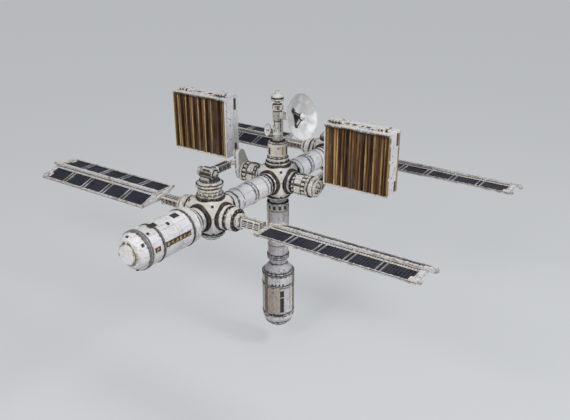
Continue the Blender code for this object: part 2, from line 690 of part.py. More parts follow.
def boom_mesh():
    """A turning disc, a channel open to one side, and a round tip that holds the yoke."""
    disc = rod(Y * BOOM_START, Y * (BOOM_START + BOOM_DISC_WIDTH), BOOM_DISC_RADIUS, SIDES)
    start = BOOM_START + BOOM_DISC_WIDTH - OVERRUN
    end = BOOM_START + BOOM_LENGTH
    half, deep = BOOM_HEIGHT / 2, BOOM_DEPTH / 2
    channel = [(deep, -half), (deep, half), (-deep, half), (-deep, half - BOOM_WALL),
               (deep - BOOM_WALL, half - BOOM_WALL), (deep - BOOM_WALL, BOOM_WALL - half),
               (-deep, BOOM_WALL - half), (-deep, -half)]
    web = plate(channel, start, end)
    lid = block((-deep, end - BOOM_WALL, -half), (deep, end, half))
    tip = rod(Y * (end - OVERRUN), Y * (YOKE_START - SEAT), BOOM_TIP_RADIUS, SMALL_SIDES)
    return united(disc, web, lid, tip)


WING_TIP = WING_ROOT + WING_CELL_LENGTH * WING_CELLS
SLOPE = math.atan2(WING_RIDGE_RISE, WING_HALF_CHORD)


def sheet_height(across):
    """Top of the sheet above the boom's axis at a distance from the ridge."""
    return WING_RIDGE_RISE * (1 - abs(across) / WING_HALF_CHORD)


def gable(reach, under, over):
    """Outline of a strip over the ridge, out to a reach, between two heights off the sheet."""
    top = [(across, sheet_height(across) + over) for across in (-reach, 0, reach)]
    return top + [(across, sheet_height(across) + under) for across in (reach, 0, -reach)]


def blanket_mesh():
    """The folded sheet of cells: two slopes that meet at the ridge."""
    edge = WING_HALF_CHORD - RAIL_WIDTH - SEAT
    top = [(edge, sheet_height(edge)), (0, WING_RIDGE_RISE), (-edge, sheet_height(edge))]
    under = [(across, height - SHEET_THICKNESS) for across, height in reversed(top)]
    return plate(top + under, WING_ROOT + SEAT, WING_TIP - SEAT)


def yoke_mesh():
    """Crescent plate from the boom's tip out to both rails, with a raised horn at each end."""
    near = YOKE_START
    wide = WING_HALF_CHORD
    corner = WING_ROOT - YOKE_BAR
    outline = [(-wide, WING_ROOT), (-wide, corner), (-BOOM_TIP_RADIUS * 2, near),
               (BOOM_TIP_RADIUS * 2, near), (wide, corner), (wide, WING_ROOT)]
    return plate(outline, -YOKE_HEIGHT / 2, YOKE_HEIGHT / 2, Z)


def horn_mesh(low, high):
    """The end of a rail at the root, which curls up past the yoke."""
    under, over = -RAIL_HEIGHT / 2, RAIL_HEIGHT / 2
    end = WING_ROOT - HORN_LENGTH
    outline = [(WING_ROOT, under), (WING_ROOT, over), (end + HORN_TIP * 2, over),
               (end + HORN_TIP, HORN_RISE), (end, HORN_RISE), (end, over), (end + HORN_TIP, under)]
    return plate(outline, low, high, X)


def wing_frame_mesh():
    """Edge rails, ridge spar, cross bars, tip plate, lugs and root yoke as one body."""
    parts = []
    for side in (-1, 1):
        low, high = sorted((side * (WING_HALF_CHORD - RAIL_WIDTH), side * WING_HALF_CHORD))
        parts.append(block((low, WING_ROOT - OVERRUN, -RAIL_HEIGHT / 2),
                           (high, WING_TIP + TIP_PLATE_WIDTH, RAIL_HEIGHT / 2)))
        parts.append(horn_mesh(low, high))
    reach = WING_HALF_CHORD - RAIL_WIDTH / 2
    for index in range(WING_CELLS + 1):
        centre = WING_ROOT + WING_CELL_LENGTH * index
        inside = 0 < index < WING_CELLS
        for shift in ((-1, 1) if inside else (0,)):
            middle = centre + shift * BAR_PAIR_SPREAD
            parts.append(plate(gable(reach, SEAT, BAR_HEIGHT), middle - BAR_WIDTH / 2,
                               middle + BAR_WIDTH / 2))
    parts.append(plate(gable(reach, -SHEET_THICKNESS, BAR_HEIGHT), WING_TIP, WING_TIP + TIP_PLATE_WIDTH))
    ridge = WING_RIDGE_RISE + SEAT
    half = SPAR_WIDTH / 2
    spar = block((-half, WING_ROOT - YOKE_BAR, ridge),
                 (half, WING_TIP + TIP_PLATE_WIDTH, ridge + SPAR_HEIGHT))
    post = block((-half, WING_ROOT - YOKE_BAR, -YOKE_HEIGHT / 2),
                 (half, WING_ROOT - SEAT, ridge + SPAR_HEIGHT / 2))
    spike = TIP_SPIKE_SIZE / 2
    end = WING_TIP + TIP_PLATE_WIDTH
    nose = block((-spike, end - OVERRUN, ridge), (spike, end + TIP_SPIKE_LENGTH, ridge + TIP_SPIKE_SIZE))
    for share in TIP_LUG_SHARES:
        centre = share * WING_HALF_CHORD
        lug = TIP_LUG_WIDTH / 2
        height = sheet_height(centre)
        parts.append(block((centre - lug, end - OVERRUN, height - TIP_SPIKE_SIZE),
                           (centre + lug, end + TIP_LUG_LENGTH, height)))
    return united(spar, post, nose, yoke_mesh(), *parts)


# Each wing is the same assembly. The right-hand ones are turned half way round the mast's axis.
HOUSING_MESH = turned(HOUSING_PROFILE, SIDES, Y, Y * TUNNEL_START)
BOOM_MESH = boom_mesh()
FRAME_MESH = wing_frame_mesh()
BLANKET_MESH = blanket_mesh()
WINGS = {"front_left": (NODE_SPACING, math.pi), "front_right": (NODE_SPACING, 0),
         "rear_left": (-NODE_SPACING, math.pi), "rear_right": (-NODE_SPACING, 0)}
for wing_name, (wing_x, wing_turn) in WINGS.items():
    base = Matrix.Translation(X * wing_x) @ Matrix.Rotation(wing_turn, 4, "Z")
    put(wing_name + "_wing_joint", HOUSING_MESH.copy(), CREAM, base)
    hinge = pivot(wing_name + "_wing_axis", base @ Matrix.Rotation(-WING_TILT, 4, "Y"))
    put(wing_name + "_boom", BOOM_MESH.copy(), CREAM, parent=hinge)
    put(wing_name + "_wing_frame", FRAME_MESH.copy(), CREAM, parent=hinge)
    put(wing_name + "_solar_blanket", BLANKET_MESH.copy(), CELL, parent=hinge)


# Swivels and swing arms on the centre node
SWIVEL_PROFILE = [(0, 0), (SWIVEL_RING_RADIUS, 0), (SWIVEL_RING_RADIUS, SWIVEL_RING_WIDTH),
                  (SWIVEL_RADIUS - SWIVEL_SEAM_DEPTH, SWIVEL_RING_WIDTH),
                  (SWIVEL_RADIUS - SWIVEL_SEAM_DEPTH, SWIVEL_RING_WIDTH + SWIVEL_SEAM_WIDTH),
                  (SWIVEL_RADIUS, SWIVEL_RING_WIDTH + SWIVEL_SEAM_WIDTH),
                  (SWIVEL_RADIUS, SWIVEL_LENGTH - SWIVEL_RING_WIDTH),
                  (SWIVEL_RING_RADIUS, SWIVEL_LENGTH - SWIVEL_RING_WIDTH),
                  (SWIVEL_RING_RADIUS, SWIVEL_LENGTH), (0, SWIVEL_LENGTH)]
SWING_START = TUNNEL_START + SWIVEL_LENGTH + SEAT
SWING_END = SWING_START + SWING_WIDTH
BOX_INNER = SWING_END + SWING_BOX_GAP
SWING_STEPS = 10


def capsule(root_radius, tip_radius, length, shrink=0.0):
    """Outline of an arm that tapers from a big round end to a small one."""
    lean = math.asin((root_radius - tip_radius) / length)
    points = []
    for index in range(SWING_STEPS + 1):
        angle = math.pi - lean + (math.pi + 2 * lean) * index / SWING_STEPS
        points.append(((root_radius - shrink) * math.cos(angle), (root_radius - shrink) * math.sin(angle)))
    for index in range(SWING_STEPS + 1):
        angle = lean + (math.pi - 2 * lean) * index / SWING_STEPS
        points.append(((tip_radius - shrink) * math.cos(angle),
                       length + (tip_radius - shrink) * math.sin(angle)))
    return points


def swing_mesh():
    """The arm, pocketed on its inner face, with a boss on the outer one that meets the box."""
    arm = plate(capsule(SWING_HUB_RADIUS, SWING_TIP_RADIUS, SWING_LENGTH), SWING_START, SWING_END)
    boss_end = BOX_INNER - SEAT
    boss = rod((0, SWING_END - OVERRUN, SWING_LENGTH), (0, boss_end, SWING_LENGTH), BOX_EAR_RADIUS,
               SMALL_SIDES)
    pocket = plate(capsule(SWING_HUB_RADIUS, SWING_TIP_RADIUS, SWING_LENGTH, SWING_POCKET_RIM),
                   SWING_END - SWING_POCKET_DEPTH, SWING_END + OVERRUN)
    keep = rod((0, SWING_START + OVERRUN, SWING_LENGTH), (0, boss_end, SWING_LENGTH), BOX_EAR_RADIUS,
               SMALL_SIDES)
    return united(cut(united(arm, boss), pocket), keep)


def lump_mesh(share, top):
    """Hardware on the top rail: a low block with a smaller one on it."""
    middle = BOX_INNER + BOX_WIDTH * share
    half = BOX_LUMP_LENGTH / 2
    deep = BOX_LUMP_DEPTH / 2
    low = block((-deep, middle - half, top - OVERRUN), (deep, middle + half, top + BOX_LUMP_SIZE / 2))
    high = block((-deep / 2, middle - half / 2, top), (deep / 2, middle + half, top + BOX_LUMP_SIZE))
    return united(low, high)


BOX_SHIFT = BOX_CORE_DEPTH / 2 - BOX_PIVOT_BACK
BOX_LOW = -BOX_PIVOT_RISE
BOX_HIGH = BOX_HEIGHT - BOX_PIVOT_RISE


def core_mesh():
    """The white core of a box, centred on X = 0. Rails frame a shallow bay for the pleats on each face."""
    deep = BOX_CORE_DEPTH / 2
    full = deep + PLEAT_DEPTH
    outer = block((-full, BOX_INNER, BOX_LOW), (full, BOX_INNER + BOX_WIDTH, BOX_HIGH))
    bays = [block((min(way * deep, way * (full + OVERRUN)), BOX_INNER + BOX_RIM, BOX_LOW + BOX_BOTTOM_RAIL),
                  (max(way * deep, way * (full + OVERRUN)), BOX_INNER + BOX_WIDTH + OVERRUN,
                   BOX_HIGH - BOX_TOP_RAIL)) for way in (-1, 1)]
    lumps = [lump_mesh(share, BOX_HIGH) for share in BOX_LUMP_SHARES]
    slots = []
    pitch = BOX_WIDTH / (BOX_SLOT_COUNT + 1)
    for index in range(BOX_SLOT_COUNT):
        middle = BOX_INNER + pitch * (index + 1)
        half = BOX_SLOT_LENGTH / 2
        slots.append(block((deep - BOX_SLOT_WIDTH * 2, middle - half, BOX_HIGH - BOX_SLOT_DEPTH),
                           (deep - BOX_SLOT_WIDTH, middle + half, BOX_HIGH + BOX_LUMP_SIZE * 2)))
    for start, end in BOX_SIDE_SHARES:
        low, high = BOX_LOW + BOX_HEIGHT * start, BOX_LOW + BOX_HEIGHT * end
        slots.append(block((-deep + BOX_SLOT_WIDTH, BOX_INNER - OVERRUN, low),
                           (-deep + BOX_SLOT_WIDTH * 2, BOX_INNER + BOX_SLOT_DEPTH, high)))
        slots.append(block((-deep + BOX_SLOT_WIDTH, BOX_INNER + BOX_WIDTH - BOX_SLOT_DEPTH, low),
                           (-deep + BOX_SLOT_WIDTH * 2, BOX_INNER + BOX_WIDTH + OVERRUN, high)))
    return cut(united(outer, *lumps), *bays, *slots)


def pleats_mesh(way):
    """A pack of vertical folds on the front (way 1) or the back (way -1) of the core."""
    width = BOX_WIDTH - BOX_RIM * 2
    pitch = width / PLEAT_COUNT
    face = BOX_CORE_DEPTH / 2 + SEAT
    crest = face + PLEAT_DEPTH
    line = []
    for index in range(PLEAT_COUNT):
        line += [((index + along) * pitch, crest - PLEAT_FOLD * (1 - rise)) for along, rise in PLEAT_SHARES]
    line.append((width, crest - PLEAT_FOLD))
    start = BOX_INNER + BOX_RIM + SEAT
    outline = [(way * depth, start + along) for along, depth in line]
    outline += [(way * face, start + width), (way * face, start)]
    return plate(outline, BOX_LOW + BOX_BOTTOM_RAIL + SEAT, BOX_HIGH - BOX_TOP_RAIL - SEAT, Z)


SWIVEL_MESH = turned(SWIVEL_PROFILE, SIDES, Y, Y * TUNNEL_START)
SWING_MESH = swing_mesh()
BOX_CORE_MESH = core_mesh()
FRONT_PLEATS_MESH = pleats_mesh(1)
BACK_PLEATS_MESH = pleats_mesh(-1)


def handed(mesh, side):
    """A copy of a right-hand piece, mirrored for the left side of the station."""
    made = mesh.copy()
    if side == "right":
        return made
    bm = bmesh.new()
    bm.from_mesh(made)
    bmesh.ops.scale(bm, vec=(1, -1, 1), verts=bm.verts)
    bmesh.ops.reverse_faces(bm, faces=bm.faces)
    bm.to_mesh(made)
    bm.free()
    return made


for side_name, swing in (("left", LEFT_SWING), ("right", RIGHT_SWING)):
    put(side_name + "_swivel", handed(SWIVEL_MESH, side_name), CREAM)
    arm_axis = pivot(side_name + "_swing_axis", Matrix.Rotation(swing, 4, "Y"))
    put(side_name + "_swing_arm", handed(SWING_MESH, side_name), CREAM, parent=arm_axis)
    hinge_at = Matrix.Rotation(swing, 4, "Y") @ (Z * SWING_LENGTH)
    box_axis = pivot(side_name + "_box_axis", Matrix.Translation(hinge_at))
    shift = Matrix.Translation(X * BOX_SHIFT)
    put(side_name + "_box_core", handed(BOX_CORE_MESH, side_name), CREAM, shift, box_axis)
    put(side_name + "_front_pleats", handed(FRONT_PLEATS_MESH, side_name), GOLD, shift, box_axis)
    put(side_name + "_back_pleats", handed(BACK_PLEATS_MESH, side_name), GOLD, shift, box_axis)


# Where the main dish points, and the hinge behind it
def aim(azimuth, elevation):
    return Vector((math.cos(azimuth) * math.cos(elevation), math.sin(azimuth) * math.cos(elevation),
                   math.sin(elevation)))


DISH_WAY = aim(DISH_AZIMUTH, DISH_ELEVATION)
DISH_RIM_AT = X * DISH_RIM_FORWARD + Y * DISH_RIM_SIDE + Z * DISH_RIM_HEIGHT
DISH_HINGE = DISH_RIM_AT - DISH_WAY * (DISH_DEPTH + DISH_STANDOFF)
# The dish is built about its hinge, +X along the beam, then turned to aim
DISH_TURN = Matrix.Translation(DISH_HINGE) @ Matrix.Rotation(DISH_AZIMUTH, 4, "Z")
DISH_TIP = DISH_TURN @ Matrix.Rotation(-DISH_ELEVATION, 4, "Y")


# Tower and mast
def tower_profile():
    first = TOWER_BASE_WIDTH + TOWER_WAIST_WIDTH
    second = first + TOWER_RING_WIDTH
    third = second + TOWER_WAIST_WIDTH
    drum = third + TOWER_DRUM_LENGTH
    return [(0, 0), (CAP_BASE_RADIUS, 0), (CAP_BASE_RADIUS, TOWER_BASE_WIDTH),
            (TOWER_WAIST, TOWER_BASE_WIDTH), (TOWER_WAIST, first), (TOWER_RING_RADIUS, first),
            (TOWER_RING_RADIUS, second), (TOWER_WAIST, second), (TOWER_WAIST, third),
            (TOWER_DRUM_RADIUS, third), (TOWER_DRUM_RADIUS, drum), (TOWER_LID_RADIUS, drum + TOWER_LID_RISE),
            (0, drum + TOWER_LID_RISE)]


TOWER_TOP = (TUNNEL_START + TOWER_BASE_WIDTH + TOWER_WAIST_WIDTH * 2 + TOWER_RING_WIDTH
             + TOWER_DRUM_LENGTH + TOWER_LID_RISE)
put("tower", turned(tower_profile(), SIDES, Z, Z * TUNNEL_START), CREAM)
MAST_START = TOWER_TOP + SEAT


def mast_mesh():
    pole = MAST_FOOT_WIDTH + MAST_POLE_LENGTH
    body = pole + MAST_BODY_LENGTH
    neck = body + MAST_NECK_LENGTH
    ring = neck + MAST_HEAD_RING_WIDTH
    gap = ring + MAST_HEAD_GAP
    lid = gap + MAST_LID_LENGTH
    cap = lid + MAST_CAP_LENGTH
    profile = [(0, 0), (MAST_FOOT_RADIUS, 0), (MAST_FOOT_RADIUS, MAST_FOOT_WIDTH),
               (MAST_RADIUS, MAST_FOOT_WIDTH),
               (MAST_RADIUS, pole), (MAST_BODY_RADIUS, pole + MAST_HEAD_GAP), (MAST_BODY_RADIUS, body),
               (MAST_NECK_RADIUS, body), (MAST_NECK_RADIUS, neck), (MAST_HEAD_RADIUS, neck),
               (MAST_HEAD_RADIUS, ring), (MAST_NECK_RADIUS, ring), (MAST_NECK_RADIUS, gap),
               (MAST_HEAD_RADIUS, gap), (MAST_HEAD_RADIUS, lid), (MAST_CAP_MIDDLE_RADIUS, (lid + cap) / 2),
               (MAST_CAP_TOP_RADIUS, cap), (MAST_CAP_TOP_RADIUS, cap + MAST_CONE_LENGTH),
               (0, cap + MAST_CONE_LENGTH)]
    return turned(profile, SIDES, Z, Z * MAST_START)


put("mast", mast_mesh(), CREAM)


# Dishes
def bowl(radius, depth, wall, rings):
    """Profile of a dish: down the hollow side from the axis to the rim and back outside."""
    hollow = [(radius * step / rings, depth * (step / rings) ** 2) for step in range(rings + 1)]
    outside = [(across, height - wall) for across, height in reversed(hollow)]
    return hollow + outside


def dish_mesh():
    shell = turned(bowl(DISH_RADIUS, DISH_DEPTH, DISH_WALL, DISH_RINGS), BIG_SIDES, X, X * DISH_STANDOFF)
    back = DISH_STANDOFF - DISH_WALL - DISH_HUB_LENGTH
    hub = rod(X * back, X * (DISH_STANDOFF - DISH_WALL / 2), DISH_HUB_RADIUS, SMALL_SIDES)
    lug = YOKE_LUG_HALF
    neck = block((0, -lug, -lug), (back + OVERRUN, lug, lug))
    eye = rod((0, -lug, 0), (0, lug, 0), lug, SMALL_SIDES)
    apex = DISH_STANDOFF + FEED_HEIGHT
    horn = [(0, 0), (FEED_RADIUS, 0), (FEED_RADIUS, FEED_LENGTH / 3), (FEED_TIP_RADIUS, FEED_LENGTH),
            (0, FEED_LENGTH)]
    feed = turned(horn, SMALL_SIDES, X, X * apex)
    struts = []
    root = DISH_RADIUS * FEED_STRUT_ROOT_SHARE
    sunk = DISH_STANDOFF + DISH_DEPTH * FEED_STRUT_ROOT_SHARE ** 2 - DISH_WALL / 2
    for index in range(FEED_STRUT_COUNT):
        angle = math.tau * index / FEED_STRUT_COUNT
        out = Y * math.cos(angle) + Z * math.sin(angle)
        top = X * (apex + FEED_STRUT) + out * (FEED_RADIUS / 2)
        struts.append(rod(X * sunk + out * root, top, FEED_STRUT))
    body = united(shell, hub, neck, eye, feed, *struts)
    hole = hole_radius(DISH_PIN_RADIUS, PIN_SIDES)
    return cut(body, rod((0, -lug - OVERRUN, 0), (0, lug + OVERRUN, 0), hole))


def ear(radius, back):
    """Outline of a lug with a round end about the axis and a flat root behind it."""
    points = [(-back, -radius)]
    for index in range(EAR_STEPS + 1):
        angle = math.pi * index / EAR_STEPS - math.pi / 2
        points.append((radius * math.cos(angle), radius * math.sin(angle)))
    return points + [(-back, radius)]


def bracket_mesh():
    """Two collars that turn on the pole, the pipe between them, the beam and the fork at its end."""
    level = DISH_HINGE.z + BRACKET_RISE
    half_high = BRACKET_HEIGHT / 2
    half = BRACKET_WIDTH / 2
    collar = rod(Z * (level - half_high), Z * (level + half_high), BRACKET_CLAMP_RADIUS, SIDES)
    near = YOKE_LUG_HALF + SEAT
    back = YOKE_BACK + YOKE_BLOCK
    fork = [block((-back, -near - YOKE_CHEEK, -YOKE_BLOCK_HALF),
                  (-YOKE_BACK, near + YOKE_CHEEK, YOKE_BLOCK_HALF))]
    for side in (-1, 1):
        inner, outer = sorted((side * near, side * (near + YOKE_CHEEK - OVERRUN)))
        fork.append(plate(ear(YOKE_LUG_HALF, YOKE_BACK + YOKE_BLOCK / 2), inner, outer))
    fork.append(rod((0, -near - OVERRUN, 0), (0, near + OVERRUN, 0), DISH_PIN_RADIUS))
    for shape in fork:
        shape.transform(DISH_TURN)
    end = DISH_TURN @ Vector((-back + YOKE_BLOCK / 2, 0, 0))
    beam = block((0, -half, -BRACKET_LEG_HALF), (Vector((end.x, end.y)).length, half, BRACKET_LEG_HALF))
    beam.transform(Matrix.Translation(Z * level) @ Matrix.Rotation(math.atan2(end.y, end.x), 4, "Z"))
    foot = Z * (MAST_START + MAST_FOOT_WIDTH + SEAT)
    ring = rod(foot, foot + Z * PIPE_COLLAR_HEIGHT, PIPE_COLLAR_RADIUS, SIDES)
    pipe = rod(foot + Y * PIPE_OFFSET, Z * level + Y * PIPE_OFFSET, PIPE_RADIUS)
    hole = rod(foot - Z * OVERRUN, Z * (level + half_high + OVERRUN), hole_radius(MAST_RADIUS, SIDES), SIDES)
    return cut(united(collar, ring, pipe, beam, *fork), hole)


SMALL_DISH_AT = Z * SMALL_DISH_HEIGHT - X * SMALL_DISH_BACK - Y * SMALL_DISH_SIDE


def small_dish_mesh():
    way = aim(SMALL_DISH_AZIMUTH, SMALL_DISH_ELEVATION)
    shell = turned(bowl(SMALL_DISH_RADIUS, SMALL_DISH_DEPTH, SMALL_DISH_WALL, SMALL_DISH_RINGS), SIDES, way,
                   SMALL_DISH_AT)
    back = SMALL_DISH_AT - way * SMALL_DISH_STEM * 2
    level = Vector((0, 0, back.z))
    across = (back - level).normalized()
    stem = rod(back + way * (SMALL_DISH_STEM * 2 - SMALL_DISH_WALL / 2), back - way * SMALL_DISH_STEM,
               SMALL_DISH_STEM)
    boom = rod(level + across * (MAST_RADIUS + SEAT * 3), back, SMALL_DISH_BOOM)
    half = Z * SMALL_DISH_COLLAR_HEIGHT / 2
    collar = rod(level - half, level + half, SMALL_DISH_COLLAR_RADIUS, SIDES)
    hole = rod(level - half * 2, level + half * 2, MAST_RADIUS + SEAT, SIDES)
    return united(cut(collar, hole), boom, stem, shell)


put("dish_bracket", bracket_mesh(), STEEL)
ELEVATION_AXIS = pivot("dish_elevation_axis", DISH_TIP)
put("main_dish", dish_mesh(), CREAM, parent=ELEVATION_AXIS)
put("small_dish", small_dish_mesh(), CREAM)
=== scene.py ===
import math
from itertools import product

import bmesh
import bpy
from mathutils import Matrix, Vector


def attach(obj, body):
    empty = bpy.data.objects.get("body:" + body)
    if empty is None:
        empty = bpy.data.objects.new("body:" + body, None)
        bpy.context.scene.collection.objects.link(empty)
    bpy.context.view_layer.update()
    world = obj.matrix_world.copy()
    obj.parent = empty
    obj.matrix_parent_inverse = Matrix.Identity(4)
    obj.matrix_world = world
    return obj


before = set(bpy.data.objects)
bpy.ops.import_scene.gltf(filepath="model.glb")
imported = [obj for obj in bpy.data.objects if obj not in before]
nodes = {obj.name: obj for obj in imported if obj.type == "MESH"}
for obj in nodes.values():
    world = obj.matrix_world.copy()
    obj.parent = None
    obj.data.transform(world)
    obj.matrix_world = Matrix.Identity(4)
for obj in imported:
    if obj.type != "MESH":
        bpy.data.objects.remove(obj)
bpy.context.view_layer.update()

X, Y, Z = Vector((1, 0, 0)), Vector((0, 1, 0)), Vector((0, 0, 1))

# Studio: a pale floor far below the floating station, a camera at the photograph's angle, and two
# large soft lamps high on the camera's left and right. The floor and the world are brighter to
# the camera than to the station, which keeps the background pale and the shadows deep.
CAMERA_PLACE, CAMERA_TURN = (33.889, 23.851, 15.712), (66.598, 0, 124.494)
CAMERA_LENS, SENSOR_WIDTH, CLIP_END = 43.30, 36, 2000
FLOOR_RADIUS, FLOOR_HEIGHT, FLOOR_ROUGHNESS = 420, -12.6, 0.9
FLOOR_TINT, FLOOR_GLOW, FLOOR_GLOW_SHARE = (0.74, 0.75, 0.76, 1), (0.66, 0.68, 0.70, 1), 0.6
WORLD_TINT, WORLD_STRENGTH, WORLD_SEEN_EXTRA = (0.93, 0.96, 1.0, 1), 0.27, 0.25
LAMP_AIM, LAMP_SIZE = Vector((0, 0, -2)), 13

bpy.context.scene.view_settings.view_transform = "Standard"
camera = bpy.data.objects.new("camera", bpy.data.cameras.new("camera"))
bpy.context.collection.objects.link(camera)
camera.location = CAMERA_PLACE
camera.rotation_euler = [math.radians(angle) for angle in CAMERA_TURN]
camera.data.lens = CAMERA_LENS
camera.data.sensor_width = SENSOR_WIDTH
camera.data.clip_end = CLIP_END
bpy.context.scene.camera = camera


def camera_level(tree, base, extra):
    """A level that rises by an extra part where the camera looks straight at the surface."""
    level = tree.nodes.new("ShaderNodeMath")
    level.operation = "MULTIPLY_ADD"
    level.inputs[1].default_value = extra
    level.inputs[2].default_value = base
    tree.links.new(tree.nodes.new("ShaderNodeLightPath").outputs["Is Camera Ray"], level.inputs[0])
    return level.outputs[0]


floor_mesh = bpy.data.meshes.new("floor")
bm = bmesh.new()
bmesh.ops.create_circle(bm, cap_ends=True, segments=96, radius=FLOOR_RADIUS)
bmesh.ops.translate(bm, vec=(0, 0, FLOOR_HEIGHT), verts=bm.verts)
bm.to_mesh(floor_mesh)
bm.free()
floor = bpy.data.objects.new("floor", floor_mesh)
bpy.context.collection.objects.link(floor)
floor_look = bpy.data.materials.new("pale_floor")
floor_look.use_nodes = True
floor_tree = floor_look.node_tree
floor_shader = floor_tree.nodes["Principled BSDF"]
floor_shader.inputs["Base Color"].default_value = FLOOR_TINT
floor_shader.inputs["Roughness"].default_value = FLOOR_ROUGHNESS
glow = floor_tree.nodes.new("ShaderNodeEmission")
glow.inputs["Color"].default_value = FLOOR_GLOW
blend = floor_tree.nodes.new("ShaderNodeMixShader")
floor_tree.links.new(camera_level(floor_tree, 0, FLOOR_GLOW_SHARE), blend.inputs[0])
floor_tree.links.new(floor_shader.outputs[0], blend.inputs[1])
floor_tree.links.new(glow.outputs[0], blend.inputs[2])
floor_tree.links.new(blend.outputs[0], floor_tree.nodes["Material Output"].inputs["Surface"])
floor.data.materials.append(floor_look)

world = bpy.data.worlds.new("soft_room")
bpy.context.scene.world = world
world.use_nodes = True
background = world.node_tree.nodes["Background"]
background.inputs["Color"].default_value = WORLD_TINT
world.node_tree.links.new(camera_level(world.node_tree, WORLD_STRENGTH, WORLD_SEEN_EXTRA),
                          background.inputs["Strength"])

for name, place, power, tint in (("key", (50, 2, 34), 14500, (1.0, 0.97, 0.93)),
                                 ("side", (-3, 44, 40), 15500, (0.94, 0.96, 1.0))):
    lamp = bpy.data.objects.new(name, bpy.data.lights.new(name, "AREA"))
    lamp.data.size = LAMP_SIZE
    lamp.data.energy = power
    lamp.data.color = tint
    lamp.location = place
    lamp.rotation_euler = (LAMP_AIM - Vector(place)).to_track_quat("-Z", "Y").to_euler()
    bpy.context.collection.objects.link(lamp)


# Nodes: three pressed aluminium cubes with welded port flanges, sprayed cream. The paint is
# scuffed, painted shade darkens each port's foot and the gap behind its flange, and a lifting
# socket sits in each corner.
class Wire:
    """One value in a shader. Sums, products and comparisons of wires add the Math nodes."""

    def __init__(self, socket):
        self.socket = socket

    def node(self, kind, settings=(), inputs=(), out=0):
        tree = self.socket.id_data
        made = tree.nodes.new("ShaderNode" + kind)
        for key, value in dict(settings).items():
            setattr(made, key, value)
        for key, value in dict(inputs).items():
            if isinstance(value, Wire):
                tree.links.new(value.socket, made.inputs[key])
            else:
                made.inputs[key].default_value = value
        return Wire(made.outputs[out])

    def maths(self, operation, *others):
        return self.node("Math", {"operation": operation}, dict(enumerate((self, *others))))

    def __add__(self, other):
        return self.maths("ADD", other)

    __radd__ = __add__

    def __mul__(self, other):
        return self.maths("MULTIPLY", other)

    __rmul__ = __mul__

    def __sub__(self, other):
        return self.maths("SUBTRACT", other)

    def __rsub__(self, other):
        return self.node("Math", {"operation": "SUBTRACT"}, {0: other, 1: self})

    def __truediv__(self, other):
        return self.maths("DIVIDE", other)

    def __rtruediv__(self, other):
        return self.node("Math", {"operation": "DIVIDE"}, {0: other, 1: self})

    def __abs__(self):
        return self.maths("ABSOLUTE")

    def __or__(self, other):
        return self.maths("MAXIMUM", other)

    __ror__ = __or__

    def between(self, low, high):
        """0 below low, 1 above high, with a smooth step; high may be the smaller one."""
        return self.node("MapRange", {"interpolation_type": "SMOOTHSTEP"},
                         {"Value": self, "From Min": low, "From Max": high})

    def split(self):
        """The x, y and z of a place."""
        parts = self.node("SeparateXYZ", (), {0: self}).socket.node
        return [Wire(output) for output in parts.outputs]


def highest(masks):
    first, *others = masks
    for mask in others:
        first = first | mask
    return first


def mixed(first, second, mask):
    """Colour first where the mask is 0 and second where it is 1."""
    return mask.node("Mix", {"data_type": "RGBA"}, {0: mask, 6: first, 7: second}, out=2)


def surface(name):
    """A new material, its shader and the place on the object in metres."""
    look = bpy.data.materials.new(name)
    look.use_nodes = True
    tree = look.node_tree
    return look, tree.nodes["Principled BSDF"], Wire(tree.nodes.new("ShaderNodeTexCoord").outputs["Object"])


def noise(place, scale, detail=3.0, rough=0.55, stretch=(1, 1, 1)):
    if stretch != (1, 1, 1):
        place = place.node("Mapping", (), {"Vector": place, "Scale": stretch})
    return place.node("TexNoise", (), {"Vector": place, "Scale": scale, "Detail": detail,
                                       "Roughness": rough})


def feed(shader, socket, wire):
    shader.id_data.links.new(wire.socket, shader.inputs[socket])


def bump(shader, height, strength, distance):
    feed(shader, "Normal", height.node("Bump", (), {"Strength": strength, "Distance": distance,
                                                    "Height": height}))


CREAM = (0.80, 0.76, 0.69, 1)
COOL_WHITE = (0.74, 0.74, 0.77, 1)
TAN = (0.47, 0.37, 0.27, 1)
# Dark colour for grime, and for the painted shade in gaps and bands that callers mark.
GRIME_AND_SHADE = (0.045, 0.032, 0.026, 1)
RUST = (0.36, 0.17, 0.08, 1)


def weathered(shader, place, colour, darkening, height, wear=1.0, streaks=(4.0, 4.0, 1.0), cool=0.8):
    """Scuffs, rust freckles and grime over a base colour, and painted shade where the caller's darkening
    mask holds it, with the roughness and bump to match.
    """
    cloud = noise(place, 0.8, 3.0, 0.6)
    fine = noise(place, 8.5, 5.0, 0.7)
    grit = noise(place, 21.0, 3.0, 0.6)
    streak = noise(place, 2.2, 4.0, 0.65, streaks)
    colour = mixed(colour, COOL_WHITE, cloud.between(0.44, 0.62) * cool)
    colour = mixed(colour, TAN, streak.between(0.54, 0.74) * (0.5 * wear))
    colour = mixed(colour, RUST, (fine * streak).between(0.31, 0.42) * (0.6 * wear))
    spots = (fine * 0.65 + grit * 0.35).between(0.56, 0.66) * cloud.between(0.3, 0.6)
    darkening = darkening * grit.between(0.12, 0.36) | spots * (0.7 * wear)
    feed(shader, "Base Color", mixed(colour, GRIME_AND_SHADE, darkening))
    feed(shader, "Roughness", 0.44 + darkening * 0.35 + streak * 0.1)
    bump(shader, height + fine * 0.3, 0.55, 0.014)


